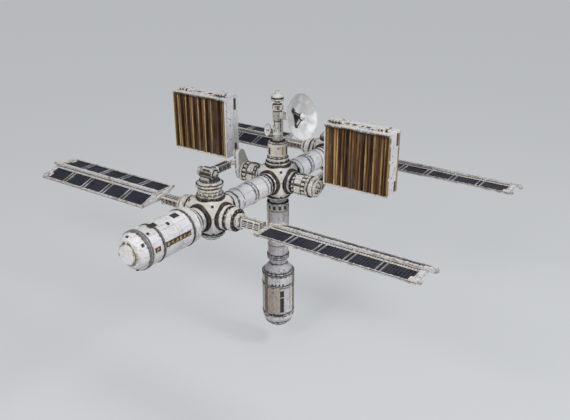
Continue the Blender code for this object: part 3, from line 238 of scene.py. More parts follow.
def node_paint(name, centre):
    """Paint of one node, with painted shade round each port's foot and in the gap behind its flange."""
    look, shader, place = surface(name)
    x, y, z = place.split()
    x = x - centre
    squares = [part * part for part in (x, y, z)]
    blotch = noise(place, 5.0, 4.0, 0.7)
    # Painted shade round each port's foot, broken up in patches.
    port_foot_shade = highest([(squares[index - 1] + squares[index - 2]).maths("SQRT").between(0.865, 0.815)
                    * squares[index].between(0.34, 0.46) for index in range(3)])
    # Painted shade in the gap behind each port's flange.
    flange = highest([abs(x), abs(y), abs(z)]).between(1.0, 1.012) * (0.8 + blotch * 0.3)
    weathered(shader, place, CREAM, flange | port_foot_shade * blotch.between(0.15, 0.5), flange * 0.1)
    return look


def dress(look, *names):
    for name in names:
        nodes[name].data.materials.clear()
        nodes[name].data.materials.append(look)


def toward(place, way):
    """The frame whose Z runs along a direction from a place."""
    return Matrix.Translation(place) @ Vector(way).to_track_quat("Z", "Y").to_matrix().to_4x4()


def slab(bm, start, end, soften=0.012, turn=Matrix()):
    """A bar or box between two opposite corners with its edges broken: pads, straps, housings."""
    start, end = Vector(start), Vector(end)
    made = bmesh.ops.create_cube(bm, size=1)["verts"]
    size = Matrix.Diagonal((*map(abs, end - start), 1))
    bmesh.ops.transform(bm, matrix=turn @ Matrix.Translation((start + end) / 2) @ size, verts=made)
    if soften:
        edges = {edge for vert in made for edge in vert.link_edges}
        bmesh.ops.bevel(bm, geom=list(edges), offset=soften, segments=1, affect="EDGES")


def joined(bm, rings):
    """Faces between each ring of points and the next, where a ring may be a single point."""
    sides = max(map(len, rings))
    for first, second in zip(rings, rings[1:]):
        for step in range(sides):
            following = (step + 1) % sides
            corners = [first[step % len(first)], first[following % len(first)],
                       second[following % len(second)], second[step % len(second)]]
            bm.faces.new(list(dict.fromkeys(corners)))


def lathe(bm, profile, sides, turn=Matrix()):
    """A turned form from (radius, height) points, closed where the profile meets its axis."""
    rings = []
    for radius, height in profile:
        steps = range(sides) if radius > 1e-6 else range(1)
        rings.append([bm.verts.new(turn @ Vector((radius * math.cos(math.tau * step / sides),
                                                  radius * math.sin(math.tau * step / sides), height)))
                      for step in steps])
    joined(bm, rings)


def fitted(name, body, look, build, place=Matrix()):
    """One piece from a function that fills a bmesh, in its place, carried by a body."""
    bm = bmesh.new()
    build(bm)
    bmesh.ops.transform(bm, matrix=place, verts=bm.verts)
    bmesh.ops.recalc_face_normals(bm, faces=bm.faces)
    mesh = bpy.data.meshes.new(name)
    bm.to_mesh(mesh)
    bm.free()
    mesh.shade_smooth()
    mesh.set_sharp_from_angle(angle=math.radians(35))
    mesh.materials.append(look)
    made = bpy.data.objects.new(name, mesh)
    bpy.context.collection.objects.link(made)
    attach(made, body)


def plain_paint(name, tint, wear=1.0, metal=0.0):
    """Paint or bare metal for hardware, with the same scuffs and grime as the hulls."""
    look, shader, place = surface(name)
    shader.inputs["Metallic"].default_value = metal
    darkening = noise(place, 3.5, 4.0, 0.7).between(0.56, 0.7) * 0.8
    weathered(shader, place, tint, darkening, noise(place, 30.0), wear, cool=0.8 if min(tint) > 0.6 else 0.0)
    return look


hardware_cream = plain_paint("hardware_cream", (0.76, 0.72, 0.65, 1), 1.2)
dark_fitting = plain_paint("dark_fitting", (0.045, 0.038, 0.034, 1), 0.3)
orange_paint = plain_paint("orange_paint", (0.62, 0.33, 0.12, 1), 0.8)

NODE_PITCH = 6.65
SOCKET_REACH = 0.856
MARK_REACH, MARK_SHIFT = 0.9, 0.12
CLAMP_HEIGHT, CLAMP_REACH = 0.985, 0.895


def corner_sockets(bm):
    for corner in product((-1, 1), repeat=3):
        base = toward(Vector(corner) * SOCKET_REACH, Vector(corner).normalized())
        slab(bm, (-0.075, -0.075, -0.05), (0.075, 0.075, 0.012), 0.012, base)
        lathe(bm, [(0.035, 0.0), (0.035, 0.02), (0.055, 0.022), (0.06, 0.0)], 14, base)


def port_marks(bm):
    """Orange paint marks on the edges between the side ports, for the crew's hand rails."""
    for x, y in product((-1, 1), repeat=2):
        base = toward(Vector((x, y, 0)) * MARK_REACH, (x, y, 0)) @ Matrix.Translation(Y * MARK_SHIFT)
        slab(bm, (-0.045, -0.03, -0.02), (0.045, 0.03, 0.008), 0.004, base)


def port_clamps(bm):
    """Latch blocks round the foot of every port, on the corners of its flat face."""
    for axis, other, third in ((X, Y, Z), (Y, Z, X), (Z, X, Y)):
        for way, turn in product((-1, 1), (45, 135, 225, 315)):
            out = other * math.cos(math.radians(turn)) + third * math.sin(math.radians(turn))
            base = toward(axis * way * CLAMP_HEIGHT + out * CLAMP_REACH, axis * way)
            base = base @ Matrix.Rotation(-(base.to_3x3().inverted() @ out).angle(X), 4, "Z")
            slab(bm, (-0.035, -0.035, 0), (0.035, 0.035, 0.05), 0.01, base)


for name, centre in (("front_node", NODE_PITCH), ("centre_node", 0), ("rear_node", -NODE_PITCH)):
    middle = Matrix.Translation(X * centre)
    dress(node_paint(name + "_paint", centre), name)
    fitted(name + "_corner_sockets", "station", dark_fitting, corner_sockets, middle)
    fitted(name + "_port_clamps", "station", hardware_cream, port_clamps, middle)
    fitted(name + "_marks", "station", orange_paint, port_marks, middle)


# Tunnels: rolled aluminium tubes with bolted end rings and seam bands, painted like the nodes.
# Hand rails and cable runs are clipped along them, and the lower one hangs from a clamped collar.
SHELL = (0.87, 0.855, 0.865, 1)


def bands(coordinate, places, width):
    """1 on a narrow band at each place along a coordinate, fading to 0 at its edges."""
    return highest([abs(coordinate - place).between(width, width * 0.35) for place in places])


def hull_paint(name, along, dark, width=0.022, wear=1.0, base=CREAM, seams=None, around=0, ribbed=None):
    """Paint of a round hull, dark in bands at its rings and at any painted shadow listed with them.
    Seams are (start, pitch) along it, with a number of plates around it and a tone for each. Ribs
    are (highest place, pitch) under a hull on X."""
    look, shader, place = surface(name)
    across = place.split()
    main = across.pop(along)
    blotch = noise(place, 5.0, 4.0, 0.7)
    darkening = noise(place, 3.2, 5.0, 0.72).between(0.56, 0.7) * (0.6 * wear)
    # Wider patchy darkening round each band, which also widens any painted shadow band.
    smear = bands(main, dark, width * 3.4) * blotch.between(0.42, 0.6)
    darkening = darkening | bands(main, dark, width) | smear * 0.9
    relief = blotch * 0.2
    colour = mixed(base, COOL_WHITE, blotch.between(0.3, 0.7) * 0.3)
    if seams:
        low, pitch = seams
        step = (main - low) / pitch
        angle = across[1].maths("ARCTAN2", across[0]) * (around / math.tau)
        plate = step.node("CombineXYZ", (), {0: step.maths("FLOOR"), 1: angle.maths("FLOOR")})
        chance = plate.node("TexWhiteNoise", (), {"Vector": plate})
        colour = mixed(colour, (0.56, 0.54, 0.54, 1), chance.between(0.45, 1.0) * 0.5)
        ring_seam = abs(step.maths("FRACT") - 0.5).between(0.5 - 0.014 / pitch, 0.5 - 0.004 / pitch)
        long_seam = abs(angle.maths("FRACT") - 0.5).between(0.486, 0.496) * chance.between(0.3, 0.5)
        seam = ring_seam | long_seam
        darkening = darkening | seam * 0.7
        relief = relief - seam
    if ribbed:
        start, pitch = ribbed
        below = across[1].between(start, start - 0.12)
        rib = abs((main / pitch).maths("FRACT") - 0.5).between(0.3, 0.5) * below
        darkening = darkening | rib * 0.5
        relief = relief - rib * 0.8
    streaks = [4.0, 4.0, 4.0]
    streaks[along] = 0.8
    weathered(shader, place, colour, darkening, relief, wear, tuple(streaks))
    return look


def stud(bm, place, way, radius, height):
    """A round-headed fastener that stands on a surface."""
    profile = [(0, -height), (radius, -height), (radius, height * 0.6), (radius * 0.7, height), (0, height)]
    lathe(bm, profile, 8, toward(place, way))


def ring_bolts(bm, place, way, radius, count, size=0.02, height=0.02):
    base = toward(place, way)
    for index in range(count):
        angle = math.tau * (index + 0.5) / count
        stud(bm, base @ Vector((radius * math.cos(angle), radius * math.sin(angle), 0)), way, size, height)


def pipe(bm, points, radius, sides=8):
    """A bent tube through a line of points, closed at both ends."""
    points = [Vector(point) for point in points]
    side = None
    rings = []
    for before, point, after in zip(points[:1] + points, points, points[1:] + points[-1:]):
        way = (after - before).normalized()
        side = (side - way * side.dot(way)).normalized() if side else way.orthogonal().normalized()
        other = way.cross(side)
        rings.append([bm.verts.new(point + (side * math.cos(math.tau * step / sides)
                                            + other * math.sin(math.tau * step / sides)) * radius)
                      for step in range(sides)])
    joined(bm, rings)
    bm.faces.new(rings[0][::-1])
    bm.faces.new(rings[-1])


def outward(turn):
    """The way out of a hull that lies on X, at an angle in degrees from +Y towards +Z."""
    return Y * math.cos(math.radians(turn)) + Z * math.sin(math.radians(turn))


def on_barrel(x, turn, radius):
    """The frame that stands on such a hull, at a place along it and an angle."""
    return (Matrix.Translation(X * x) @ Matrix.Rotation(math.radians(turn - 90), 4, "X")
            @ Matrix.Translation(Z * radius))


def long_rails(bm, start, end, radius, angles, tube=0.016, gap=0.055, step=0.8):
    """Hand rails along a hull that lies on X, each on short posts."""
    posts = max(int((end - start) / step), 1)
    for out in map(outward, angles):
        low, high = out * radius, out * (radius + gap)
        pipe(bm, [X * start + low, X * start + high, X * end + high, X * end + low], tube, 6)
        for index in range(1, posts):
            foot = X * (start + (end - start) * index / posts)
            pipe(bm, [foot + low, foot + high], tube, 6)


def hoops(bm, places, radius, thickness, width, sides=28, turn=Matrix()):
    """Straps round a hull, each a flat band with broken edges."""
    half, inner, outer, edge = width / 2, radius - 0.01, radius + thickness, radius + thickness * 0.7
    for place in places:
        lathe(bm, [(inner, -half), (edge, -half), (outer, -half * 0.6), (outer, half * 0.6), (edge, half),
                   (inner, half)], sides, turn @ toward(X * place, X))


def spaced(count, axis, shift=0.0):
    """Turns about an axis at even steps, for what repeats round a hull."""
    return [Matrix.Rotation(math.tau * (index + shift) / count, 4, axis) for index in range(count)]


def turned(angle, axis):
    return Matrix.Rotation(math.radians(angle), 4, axis)


def round_panel(bm, radius, lift, start, end, low, high, steps=6):
    """A curved plate on an upright hull, between two angles in degrees and two heights."""
    section = [(radius - 0.02, low), (radius + lift, low), (radius + lift, high), (radius - 0.02, high)]
    rings = []
    for step in range(steps + 1):
        angle = math.radians(start + (end - start) * step / steps)
        rings.append([bm.verts.new((away * math.cos(angle), away * math.sin(angle), height))
                      for away, height in section])
    joined(bm, rings)
    bm.faces.new(rings[0][::-1])
    bm.faces.new(rings[-1])


bare_metal = plain_paint("bare_metal", (0.34, 0.33, 0.32, 1), 0.8, 0.5)
strip_paint = plain_paint("tunnel_strip", (0.56, 0.47, 0.40, 1), 1.6)

TUNNEL_RADIUS = 0.69
TUNNEL_RINGS = (1.12, 1.31, 1.52, 1.66, 2.97, 3.29, 4.84, 4.9, 5.25, 5.36, 5.52)
LOWER_TUNNEL_RINGS = (-1.12, -1.31, -1.52, -1.66, -5.3, -5.42, -5.58)
RAIL_START, RAIL_END = 1.75, 4.75


def tunnel_gear(bm):
    """Two pairs of hand rails, a pair of cable runs, junction boxes and the rings' bolts."""
    long_rails(bm, RAIL_START, 2.85, TUNNEL_RADIUS, (128, 52))
    long_rails(bm, 3.4, RAIL_END, TUNNEL_RADIUS, (118, 40))
    long_rails(bm, RAIL_START, RAIL_END, TUNNEL_RADIUS, (-22,), 0.024, 0.035, 0.5)
    long_rails(bm, RAIL_START, RAIL_END, TUNNEL_RADIUS, (-28,), 0.018, 0.03, 0.5)
    for place, turn, size in ((2.2, 75, 0.12), (3.7, 92, 0.16), (4.4, 10, 0.12), (2.5, 5, 0.1),
                              (3.9, 150, 0.14)):
        slab(bm, (-size, -size * 0.7, -0.03), (size, size * 0.7, 0.06), 0.015,
             on_barrel(place, turn, TUNNEL_RADIUS))
    for place in (1.625, 3.135):
        ring_bolts(bm, X * place, X, 0.715, 20, 0.016, 0.018)


def tunnel_straps(bm):
    hoops(bm, (3.05, 3.21, 2.0, 4.35), 0.712, 0.012, 0.035)


def lower_straps(bm):
    hoops(bm, (2.1, 3.3, 4.6), TUNNEL_RADIUS, 0.02, 0.06)


def collar_clamps(bm):
    """Clamp blocks between two hoops, round the collar of the lower tunnel."""
    for spin in spaced(12, "X"):
        slab(bm, (1.7, -0.075, 0.64), (1.98, 0.075, 0.735), 0.015, spin)
    hoops(bm, (1.66, 2.02), TUNNEL_RADIUS, 0.035, 0.05, 36)


# Dark slabs standing for the painted shade in the gaps between the collar's clamps.
def collar_gaps(bm):
    for spin in spaced(12, "X", 0.5):
        slab(bm, (1.72, -0.09, 0.64), (1.95, 0.09, 0.706), 0.01, spin)


def tunnel_strips(bm):
    """Insulation strips up the lower tunnel: angle, width in degrees, and two heights."""
    for turn, wide, low, high in ((-24, 12, -5.2, -1.8), (-4, 3, -5.0, -2.0), (66, 6, -5.2, -1.8),
                                  (150, 12, -5.2, -1.8), (240, 12, -5.2, -1.8), (330, 4, -3.4, -1.8)):
        round_panel(bm, TUNNEL_RADIUS, 0.006, turn, turn + wide, low, high, 4)


half_turn, upright = turned(180, "Z"), turned(90, "Y")
for name, side, place in (("front_tunnel", 1, Matrix()), ("rear_tunnel", -1, half_turn)):
    dress(hull_paint(name + "_paint", 0, [side * ring for ring in TUNNEL_RINGS], 0.034, 0.6, SHELL,
                     (1.1 if side > 0 else -5.5, 2.2), 3), name)
    fitted(name + "_rails", "station", hardware_cream, tunnel_gear, place)
    fitted(name + "_straps", "station", bare_metal, tunnel_straps, place)
dress(hull_paint("lower_tunnel_paint", 2, LOWER_TUNNEL_RINGS, 0.03, 1.2, SHELL, (-5.4, 1.2), 6),
      "lower_tunnel")
fitted("lower_tunnel_rails", "station", hardware_cream, tunnel_gear, upright)
fitted("lower_tunnel_clamps", "station", hardware_cream, collar_clamps, upright)
fitted("lower_tunnel_gaps", "station", dark_fitting, collar_gaps, upright)
fitted("lower_tunnel_straps", "station", bare_metal, lower_straps, upright)
fitted("lower_tunnel_strips", "station", strip_paint, tunnel_strips)

# Lower module: a welded aluminium pressure vessel with ring frames and a rounded bottom, bolted
# under its tunnel. Dark radiators are screwed to its side, each in a beige field beside a brown
# insulation strip.
LOWER_RADIUS = 1.08
# Dark bands down the module: ring joints, and at -6.5 a painted shadow on the shoulder's lower half.
LOWER_RING_AND_SHADOW_BANDS = (-5.62, -5.99, -6.5, -6.62, -6.72, -7.42, -7.55, -9.62, -9.75, -10.3, -10.47, -10.55)
PANEL_STARTS = (41, 161, 281)
PANEL_LOW, PANEL_HIGH = -9.5, -7.7


def dark_panels(bm):
    """The radiators, the shadow line under them and the vent slots above."""
    for start in PANEL_STARTS:
        round_panel(bm, LOWER_RADIUS, 0.006, start, start + 15, -9.45, -7.75)
        round_panel(bm, LOWER_RADIUS, 0.03, start - 40, start + 13, -9.74, -9.62)
        for turn in range(start - 30, start + 10, 13):
            round_panel(bm, LOWER_RADIUS, 0.02, turn, turn + 5, -7.36, -7.24, 2)


def brown_strips(bm):
    for start in PANEL_STARTS:
        round_panel(bm, LOWER_RADIUS, 0.014, start - 63, start - 47, -9.95, -6.78, 3)
        round_panel(bm, LOWER_RADIUS, 0.012, start + 60, start + 63, PANEL_LOW, PANEL_HIGH, 1)


def beige_panels(bm):
    for start in PANEL_STARTS:
        round_panel(bm, LOWER_RADIUS, 0.01, start - 44, start - 1, PANEL_LOW, -7.65, 5)


def panel_frames(bm):
    for start in PANEL_STARTS:
        for turn in (start - 1.2, start + 15):
            round_panel(bm, LOWER_RADIUS, 0.022, turn, turn + 1.4, PANEL_LOW, PANEL_HIGH, 1)
        for low in (PANEL_LOW, -8.3, -7.75):
            round_panel(bm, LOWER_RADIUS, 0.022, start - 1, start + 16, low, low + 0.05)


def lower_gear(bm):
    """Upright hand rails, access covers and the bolts under the shoulder."""
    for turn in (20, 85, 200, 320):
        spin = turned(turn, "Z")
        foot, clip = LOWER_RADIUS, LOWER_RADIUS + 0.02
        pipe(bm, [spin @ Vector((away, 0, height)) for away, height in (
            (foot, -7.7), (clip, -7.72), (clip, -9.4), (foot, -9.42))], 0.018, 6)
    for height, turn in ((-6.95, 30), (-7.1, 75), (-9.95, 48), (-7.0, 130), (-9.9, 220), (-7.0, 290)):
        slab(bm, (LOWER_RADIUS - 0.04, -0.13, height - 0.1), (LOWER_RADIUS + 0.028, 0.13, height + 0.1),
             0.012, turned(turn, "Z"))
    ring_bolts(bm, -Z * 6.64, -Z, 1.1, 24, 0.014, 0.012)


strip_brown = plain_paint("brown_strip", (0.30, 0.20, 0.13, 1), 1.6)
panel_beige = plain_paint("beige_panel", (0.58, 0.50, 0.43, 1), 1.8)
dress(hull_paint("lower_module_paint", 2, LOWER_RING_AND_SHADOW_BANDS, 0.042, 1.3, SHELL, (-10.1, 0.86), 9), "lower_module")
fitted("lower_module_dark_panels", "station", dark_fitting, dark_panels)
fitted("lower_module_brown_strips", "station", strip_brown, brown_strips)
fitted("lower_module_beige_panels", "station", panel_beige, beige_panels)
fitted("lower_module_panel_frames", "station", hardware_cream, panel_frames)
fitted("lower_module_rails", "station", hardware_cream, lower_gear)

# Habitat module: the largest aluminium pressure vessel, rolled and welded, with a strip of windows
# set into each side, louvred vents on top and a docking hatch in front with brass catches.
HABITAT_RADIUS = 1.05
HABITAT_RINGS = (7.78, 7.92, 8.1, 8.26, 8.64, 9.15, 9.25, 11.45, 11.55, 12.34, 12.58, 13.1)
HATCH_PLACE = 13.1
WINDOW_Z, WINDOW_PITCH = 0.12, 0.306
STRIP_START, STRIP_END = 9.3, 11.42


def window_frames(bm):
    """The dark strip that lines each window recess, with bars between the panes."""
    for way in (-1, 1):
        face = way * (HABITAT_RADIUS - 0.03)
        for low, high in ((9.5, 11.4), (11.78, 12.18)):
            slab(bm, (low + 0.004, face - way * 0.02, WINDOW_Z - 0.135),
                 (high - 0.004, face + way * 0.012, WINDOW_Z + 0.135), 0.004)
        for index in range(7):
            x = 9.52 + index * WINDOW_PITCH
            slab(bm, (x, face, WINDOW_Z - 0.13), (x + 0.03, face + way * 0.022, WINDOW_Z + 0.13), 0.004)


def panes(bm):
    for way in (-1, 1):
        face = way * (HABITAT_RADIUS - 0.018)
        for x in [9.58 + index * WINDOW_PITCH for index in range(6)] + [11.88]:
            slab(bm, (x, face - way * 0.01, WINDOW_Z - 0.08),
                 (x + 0.2, face + way * 0.012, WINDOW_Z + 0.08), 0.02)


def pane_look():
    """Gold-coated glass with dark blotches, lit unevenly from within."""
    look, shader, place = surface("gold_glass")
    blotch = noise(place, 7.0, 3.0, 0.6)
    feed(shader, "Base Color", mixed((0.16, 0.08, 0.03, 1), (0.72, 0.50, 0.18, 1), blotch.between(0.4, 0.6)))
    feed(shader, "Roughness", 0.2 + blotch * 0.3)
    shader.inputs["Metallic"].default_value = 0.5
    return look


def strip_trim(bm):
    """The thin dark trim above and below the window strip, along the barrel."""
    for way in (-1, 1):
        angle = math.atan2(WINDOW_Z + 0.16, HABITAT_RADIUS)
        upper = Vector((0, way * math.cos(angle) * HABITAT_RADIUS, math.sin(angle) * HABITAT_RADIUS))
        for foot, thick in ((upper, 0.012), (upper - Z * 0.33, 0.009)):
            pipe(bm, [X * STRIP_START + foot, X * STRIP_END + foot], thick, 6)


def vents(bm):
    """Louvred vents and sensor covers let into the top of the barrel."""
    for x, turn, long, wide, lift in ((9.85, 78, 0.22, 0.17, 0.012), (11.5, 79, 0.24, 0.15, 0.055),
                                      (10.65, 62, 0.09, 0.1, 0.012), (12.12, 61, 0.08, 0.07, 0.012),
                                      (9.9, 255, 0.2, 0.15, 0.012), (11.0, 262, 0.2, 0.15, 0.012)):
        base = on_barrel(x, turn, HABITAT_RADIUS + lift)
        slab(bm, (-long, -wide, -0.03), (long, wide, 0.01), 0.008, base)
        for index in range(5):
            place = -long + long * 2 * (index + 0.5) / 5
            slab(bm, (place - long * 0.06, -wide, 0), (place + long * 0.06, wide, 0.024), 0.003, base)
    for x, turn, radius in ((12.74, 38, 0.985), (12.86, 100, 0.9), (12.86, 200, 0.9), (12.8, 290, 0.95)):
        slab(bm, (-0.07, -0.09, -0.06), (0.07, 0.09, 0.03), 0.01, on_barrel(x, turn, radius))


def habitat_gear(bm):
    """Hand rails, access covers, the shoulder's bolts and the neck's hoops."""
    long_rails(bm, 9.35, 11.3, HABITAT_RADIUS, (118, 148), 0.015, 0.028, 0.65)
    long_rails(bm, 9.4, 11.3, HABITAT_RADIUS, (205, 330), 0.018, 0.025, 0.65)
    for x, turn, long, wide in ((9.0, 40, 0.1, 0.16), (8.85, 95, 0.12, 0.2), (10.25, 98, 0.16, 0.1),
                                (8.95, -20, 0.1, 0.18), (11.95, 120, 0.12, 0.16), (8.9, 160, 0.12, 0.2)):
        slab(bm, (-long, -wide, -0.04), (long, wide, 0.022), 0.01, on_barrel(x, turn, HABITAT_RADIUS))
    ring_bolts(bm, X * 9.14, -X, 1.06, 28, 0.014, 0.012)
    hoops(bm, (7.93, 8.08), TUNNEL_RADIUS, 0.03, 0.05)


def double_ring(bm):
    hoops(bm, (12.37, 12.5), 1.075, 0.014, 0.1, 48)
    hoops(bm, (9.2, 11.5), 1.075, 0.012, 0.07, 48)


def hatch_rim(bm):
    """The hatch's rolled rim and the bead on its lid, on the flat face of the dome."""
    turn = toward(X * HATCH_PLACE, X)
    lathe(bm, [(0.5, -0.04), (0.535, -0.04), (0.54, 0.05), (0.52, 0.085), (0.5, 0.09)], 32, turn)
    lathe(bm, [(0.30, 0.094), (0.31, 0.099), (0.34, 0.099), (0.35, 0.094)], 32, turn)


def hatch_catches(bm):
    for start, end in ((-60, 45), (120, 158), (200, 262)):
        turns = [start + (end - start) * step / 8 for step in range(9)]
        pipe(bm, [X * HATCH_PLACE + outward(turn) * 0.575 for turn in turns], 0.024)


brass = plain_paint("brass", (0.50, 0.34, 0.12, 1), 0.7, 0.7)
ring_metal = plain_paint("ring_metal", (0.20, 0.185, 0.175, 1), 0.9, 0.3)
dress(hull_paint("habitat_paint", 0, HABITAT_RINGS, 0.03, 0.7, SHELL, (9.2, 1.125), 7, (-0.3, 0.09)),
      "habitat_module")
fitted("habitat_strip_trim", "station", dark_fitting, strip_trim)
fitted("habitat_window_frames", "station", dark_fitting, window_frames)
fitted("habitat_panes", "station", pane_look(), panes)
fitted("habitat_vents", "station", dark_fitting, vents)
fitted("habitat_rails", "station", hardware_cream, habitat_gear)
fitted("habitat_double_ring", "station", ring_metal, double_ring)
fitted("hatch_rim", "station", hardware_cream, hatch_rim)
fitted("hatch_catches", "station", brass, hatch_catches)

# Caps: spun aluminium covers that close the free ports. Each is held by a ring of latches and
# has a grab ring on its lid, with a lock wire across it.
CAP_START = 1.1053


def cap_gear(bm):
    for spin in spaced(12, "Z"):
        slab(bm, (0.66, -0.06, 0.12), (0.775, 0.06, 0.19), 0.012, spin)
        slab(bm, (0.42, -0.025, 0.3), (0.56, 0.025, 0.4), 0.01, spin)
    lathe(bm, [(0.30, 0.40), (0.36, 0.40), (0.36, 0.43), (0.31, 0.44), (0.30, 0.43)], 24)
    pipe(bm, [(-0.16, 0, 0.44), (-0.16, 0, 0.449), (0.16, 0, 0.449), (0.16, 0, 0.44)], 0.001, 4)


for name, along, rings, place, way in (
        ("front_lower_cap", 2, (-1.12, -1.25, -1.5), X * NODE_PITCH, -Z),
        ("rear_lower_cap", 2, (-1.12, -1.25, -1.5), -X * NODE_PITCH, -Z),
        ("rear_upper_cap", 2, (1.12, 1.25, 1.5), -X * NODE_PITCH, Z),
        ("aft_cap", 0, (-7.77, -7.9, -8.15), -X * NODE_PITCH, -X)):
    dress(hull_paint(name + "_paint", along, rings, 0.03), name)
    fitted(name + "_latches", "station", hardware_cream, cap_gear, toward(place + way * CAP_START, way))

# Robot arm: adapter bolted to the front node's upper port, turntable, railed boom and gripper, all
# machined from aluminium. Cables are clipped along the rails.
ARM_AXIS = 2.4256


def adapter_gear(bm):
    """Latches round the adapter's foot, and blocks and clips round its collar."""
    for spin in spaced(14, "Z"):
        slab(bm, (0.58, -0.05, 0.14), (0.7, 0.05, 0.3), 0.012, spin)
    for spin in spaced(10, "Z", 0.4):
        slab(bm, (0.7, -0.09, 0.62), (0.802, 0.09, 0.72), 0.015, spin)
        slab(bm, (0.5, -0.05, 0.74), (0.62, 0.05, 0.83), 0.012, spin)


def shoulder_covers(bm):
    """Drive box behind the shoulder, its end plates, the pin bolts and a hose."""
    slab(bm, (-0.15, -0.75, -0.2), (0.15, -0.68, 0.2), 0.02)
    slab(bm, (-0.3, -0.69, -0.1), (0.3, -0.5, 0.1), 0.02)
    for way in (-1, 1):
        ring_bolts(bm, Y * way * 0.43, Y * way, 0.17, 8, 0.022, 0.02)
    slab(bm, (0.36, -0.3, -0.36), (0.44, 0.3, -0.2), 0.02)
    pipe(bm, [(0.2, -0.5, -0.3), (0.34, -0.5, -0.1), (0.3, -0.46, 0.12), (0.12, -0.45, 0.2)], 0.022)


def arm_seals(bm):
    """Dark seals between the cheeks and their covers, and the ring at the table's edge."""
    for way in (-1, 1):
        lathe(bm, [(0.2, 0.0), (0.27, 0.0), (0.27, 0.035), (0.2, 0.035)], 24,
              toward((0, way * 0.425, 0), Y * way))
        slab(bm, (-0.16, way * 0.49 - 0.08, -0.33), (0.16, way * 0.49 + 0.08, -0.22), 0.01)
    slab(bm, (-0.12, -0.7, -0.14), (0.12, -0.655, 0.14), 0.01)
    slab(bm, (-0.315, -0.66, -0.05), (-0.28, -0.52, 0.05), 0.01)
    for spin in spaced(16, "Z"):
        slab(bm, (0.5, -0.05, -0.44), (0.6, 0.05, -0.375), 0.01, spin)


def arm_cables(bm):
    """Two slack cables between the rails, and the cross ties that carry them."""
    pipe(bm, [(-0.3, 0.1, 0.22), (-0.6, 0.05, 0.24), (-0.9, 0.0, 0.2), (-1.3, 0.02, 0.22),
              (-1.62, 0, 0.17)], 0.02)
    pipe(bm, [(-0.3, -0.06, 0.22), (-0.7, -0.05, 0.22), (-1.1, 0.06, 0.2), (-1.6, 0.05, 0.17)], 0.014)
    for index in range(4):
        x = -0.75 - index * 0.24
        slab(bm, (x - 0.07, -0.2, 0.16), (x + 0.07, 0.2, 0.2), 0.008)
        slab(bm, (x - 0.03, 0.16, -0.2), (x + 0.03, 0.2, 0.2), 0.008)


def drum_straps(bm):
    """Straps round the shoulder drum and the ring where the rails leave it."""
    for turn in (70, 110, 150, -40, -80):
        slab(bm, (0.31, -0.26, -0.05), (0.35, 0.26, 0.05), 0.01, turned(turn, "Y"))
    lathe(bm, [(0.24, 0.3), (0.27, 0.31), (0.27, 0.38), (0.24, 0.39)], 20, toward((0, 0, 0), -X))


def rail_caps(bm):
    """Light wear strips on top of both rails."""
    for way in (-1, 1):
        slab(bm, (-1.66, way * 0.17 - 0.03, 0.19), (-0.62, way * 0.17 + 0.03, 0.215), 0.006)


dress(hull_paint("arm_adapter_paint", 2, (1.12, 1.24, 1.46, 1.64, 1.71, 1.86), 0.026, 1.3), "arm_adapter")
dress(hull_paint("arm_metal", 2, (1.95, 2.06, 2.13, 2.3, 2.72), 0.035, 2.0, (0.55, 0.53, 0.50, 1)),
      "arm_turntable", "arm_gripper")
dress(hull_paint("arm_boom_paint", 0, (6.98, 6.32, 6.0, 5.76, 5.52, 5.28, 5.04), 0.035, 2.0,
                 (0.50, 0.48, 0.46, 1)), "arm_boom")
arm_trim = plain_paint("arm_trim", (0.50, 0.48, 0.46, 1), 1.8)
arm_place = Matrix.Translation(X * NODE_PITCH + Z * ARM_AXIS)
fitted("arm_adapter_latches", "station", hardware_cream, adapter_gear,
       Matrix.Translation(X * NODE_PITCH + Z * CAP_START))
fitted("arm_shoulder_covers", "arm_base", arm_trim, shoulder_covers, arm_place)
fitted("arm_seals", "arm_base", dark_fitting, arm_seals, arm_place)
fitted("arm_cables", "arm", dark_fitting, arm_cables, arm_place)
fitted("arm_drum_straps", "arm", dark_fitting, drum_straps, arm_place)
fitted("arm_rail_caps", "arm", arm_trim, rail_caps, arm_place)

# Wing joints and booms: cast housings bolted to the side ports, with the folded channel booms that
# turn in them. The channels hold the drive boxes and cable loops, and end in a yoke.
WING_TILT = 9
WING_SIDES = {"front_left": (NODE_PITCH, -1), "front_right": (NODE_PITCH, 1),
              "rear_left": (-NODE_PITCH, -1), "rear_right": (-NODE_PITCH, 1)}
JOINT_RINGS, BOOM_RINGS = (1.12, 1.39, 1.52, 1.95, 2.13), (2.29, 3.66)
BAY_START, BAY_PITCH = 2.42, 0.42


def joint_latches(bm):
    """Two rings of latches, two rings of bolts and the motor housings at the foot."""
    for spin in spaced(10, "Y"):
        slab(bm, (0.5, 1.4, -0.06), (0.6, 1.5, 0.06), 0.01, spin)
        slab(bm, (0.6, 1.60, -0.1), (0.685, 1.76, 0.1), 0.014, spin)
    ring_bolts(bm, Y * 1.386, Y, 0.64, 16, 0.02, 0.016)
    ring_bolts(bm, Y * 1.946, Y, 0.56, 14, 0.022, 0.018)
    for turn in (30, 100, 220):
        slab(bm, (0.66, 1.14, -0.12), (0.76, 1.34, 0.12), 0.02, turned(turn, "Y"))


def boom_drives(bm):
    """Drive boxes in the channel, the ribs on its flanges, a cable loop and the end bearing."""
    for index in range(4):
        y = BAY_START + index * 0.3
        slab(bm, (-0.24, y, -0.17), (0.14, y + 0.16, 0.17), 0.02)
    for z, index in product((-0.27, 0.27), range(6)):
        slab(bm, (-0.2, 2.36 + index * 0.22, z - 0.02), (0.2, 2.42 + index * 0.22, z + 0.02), 0.006)
    pipe(bm, [(-0.2, 2.3, -0.1), (-0.27, 2.5, 0.02), (-0.25, 2.8, -0.06), (-0.27, 3.1, 0.04),
              (-0.2, 3.4, 0)], 0.025)
    lathe(bm, [(0.13, 0), (0.2, 0.02), (0.2, 0.1), (0.13, 0.12)], 16, toward((0, 3.70, 0), Y))


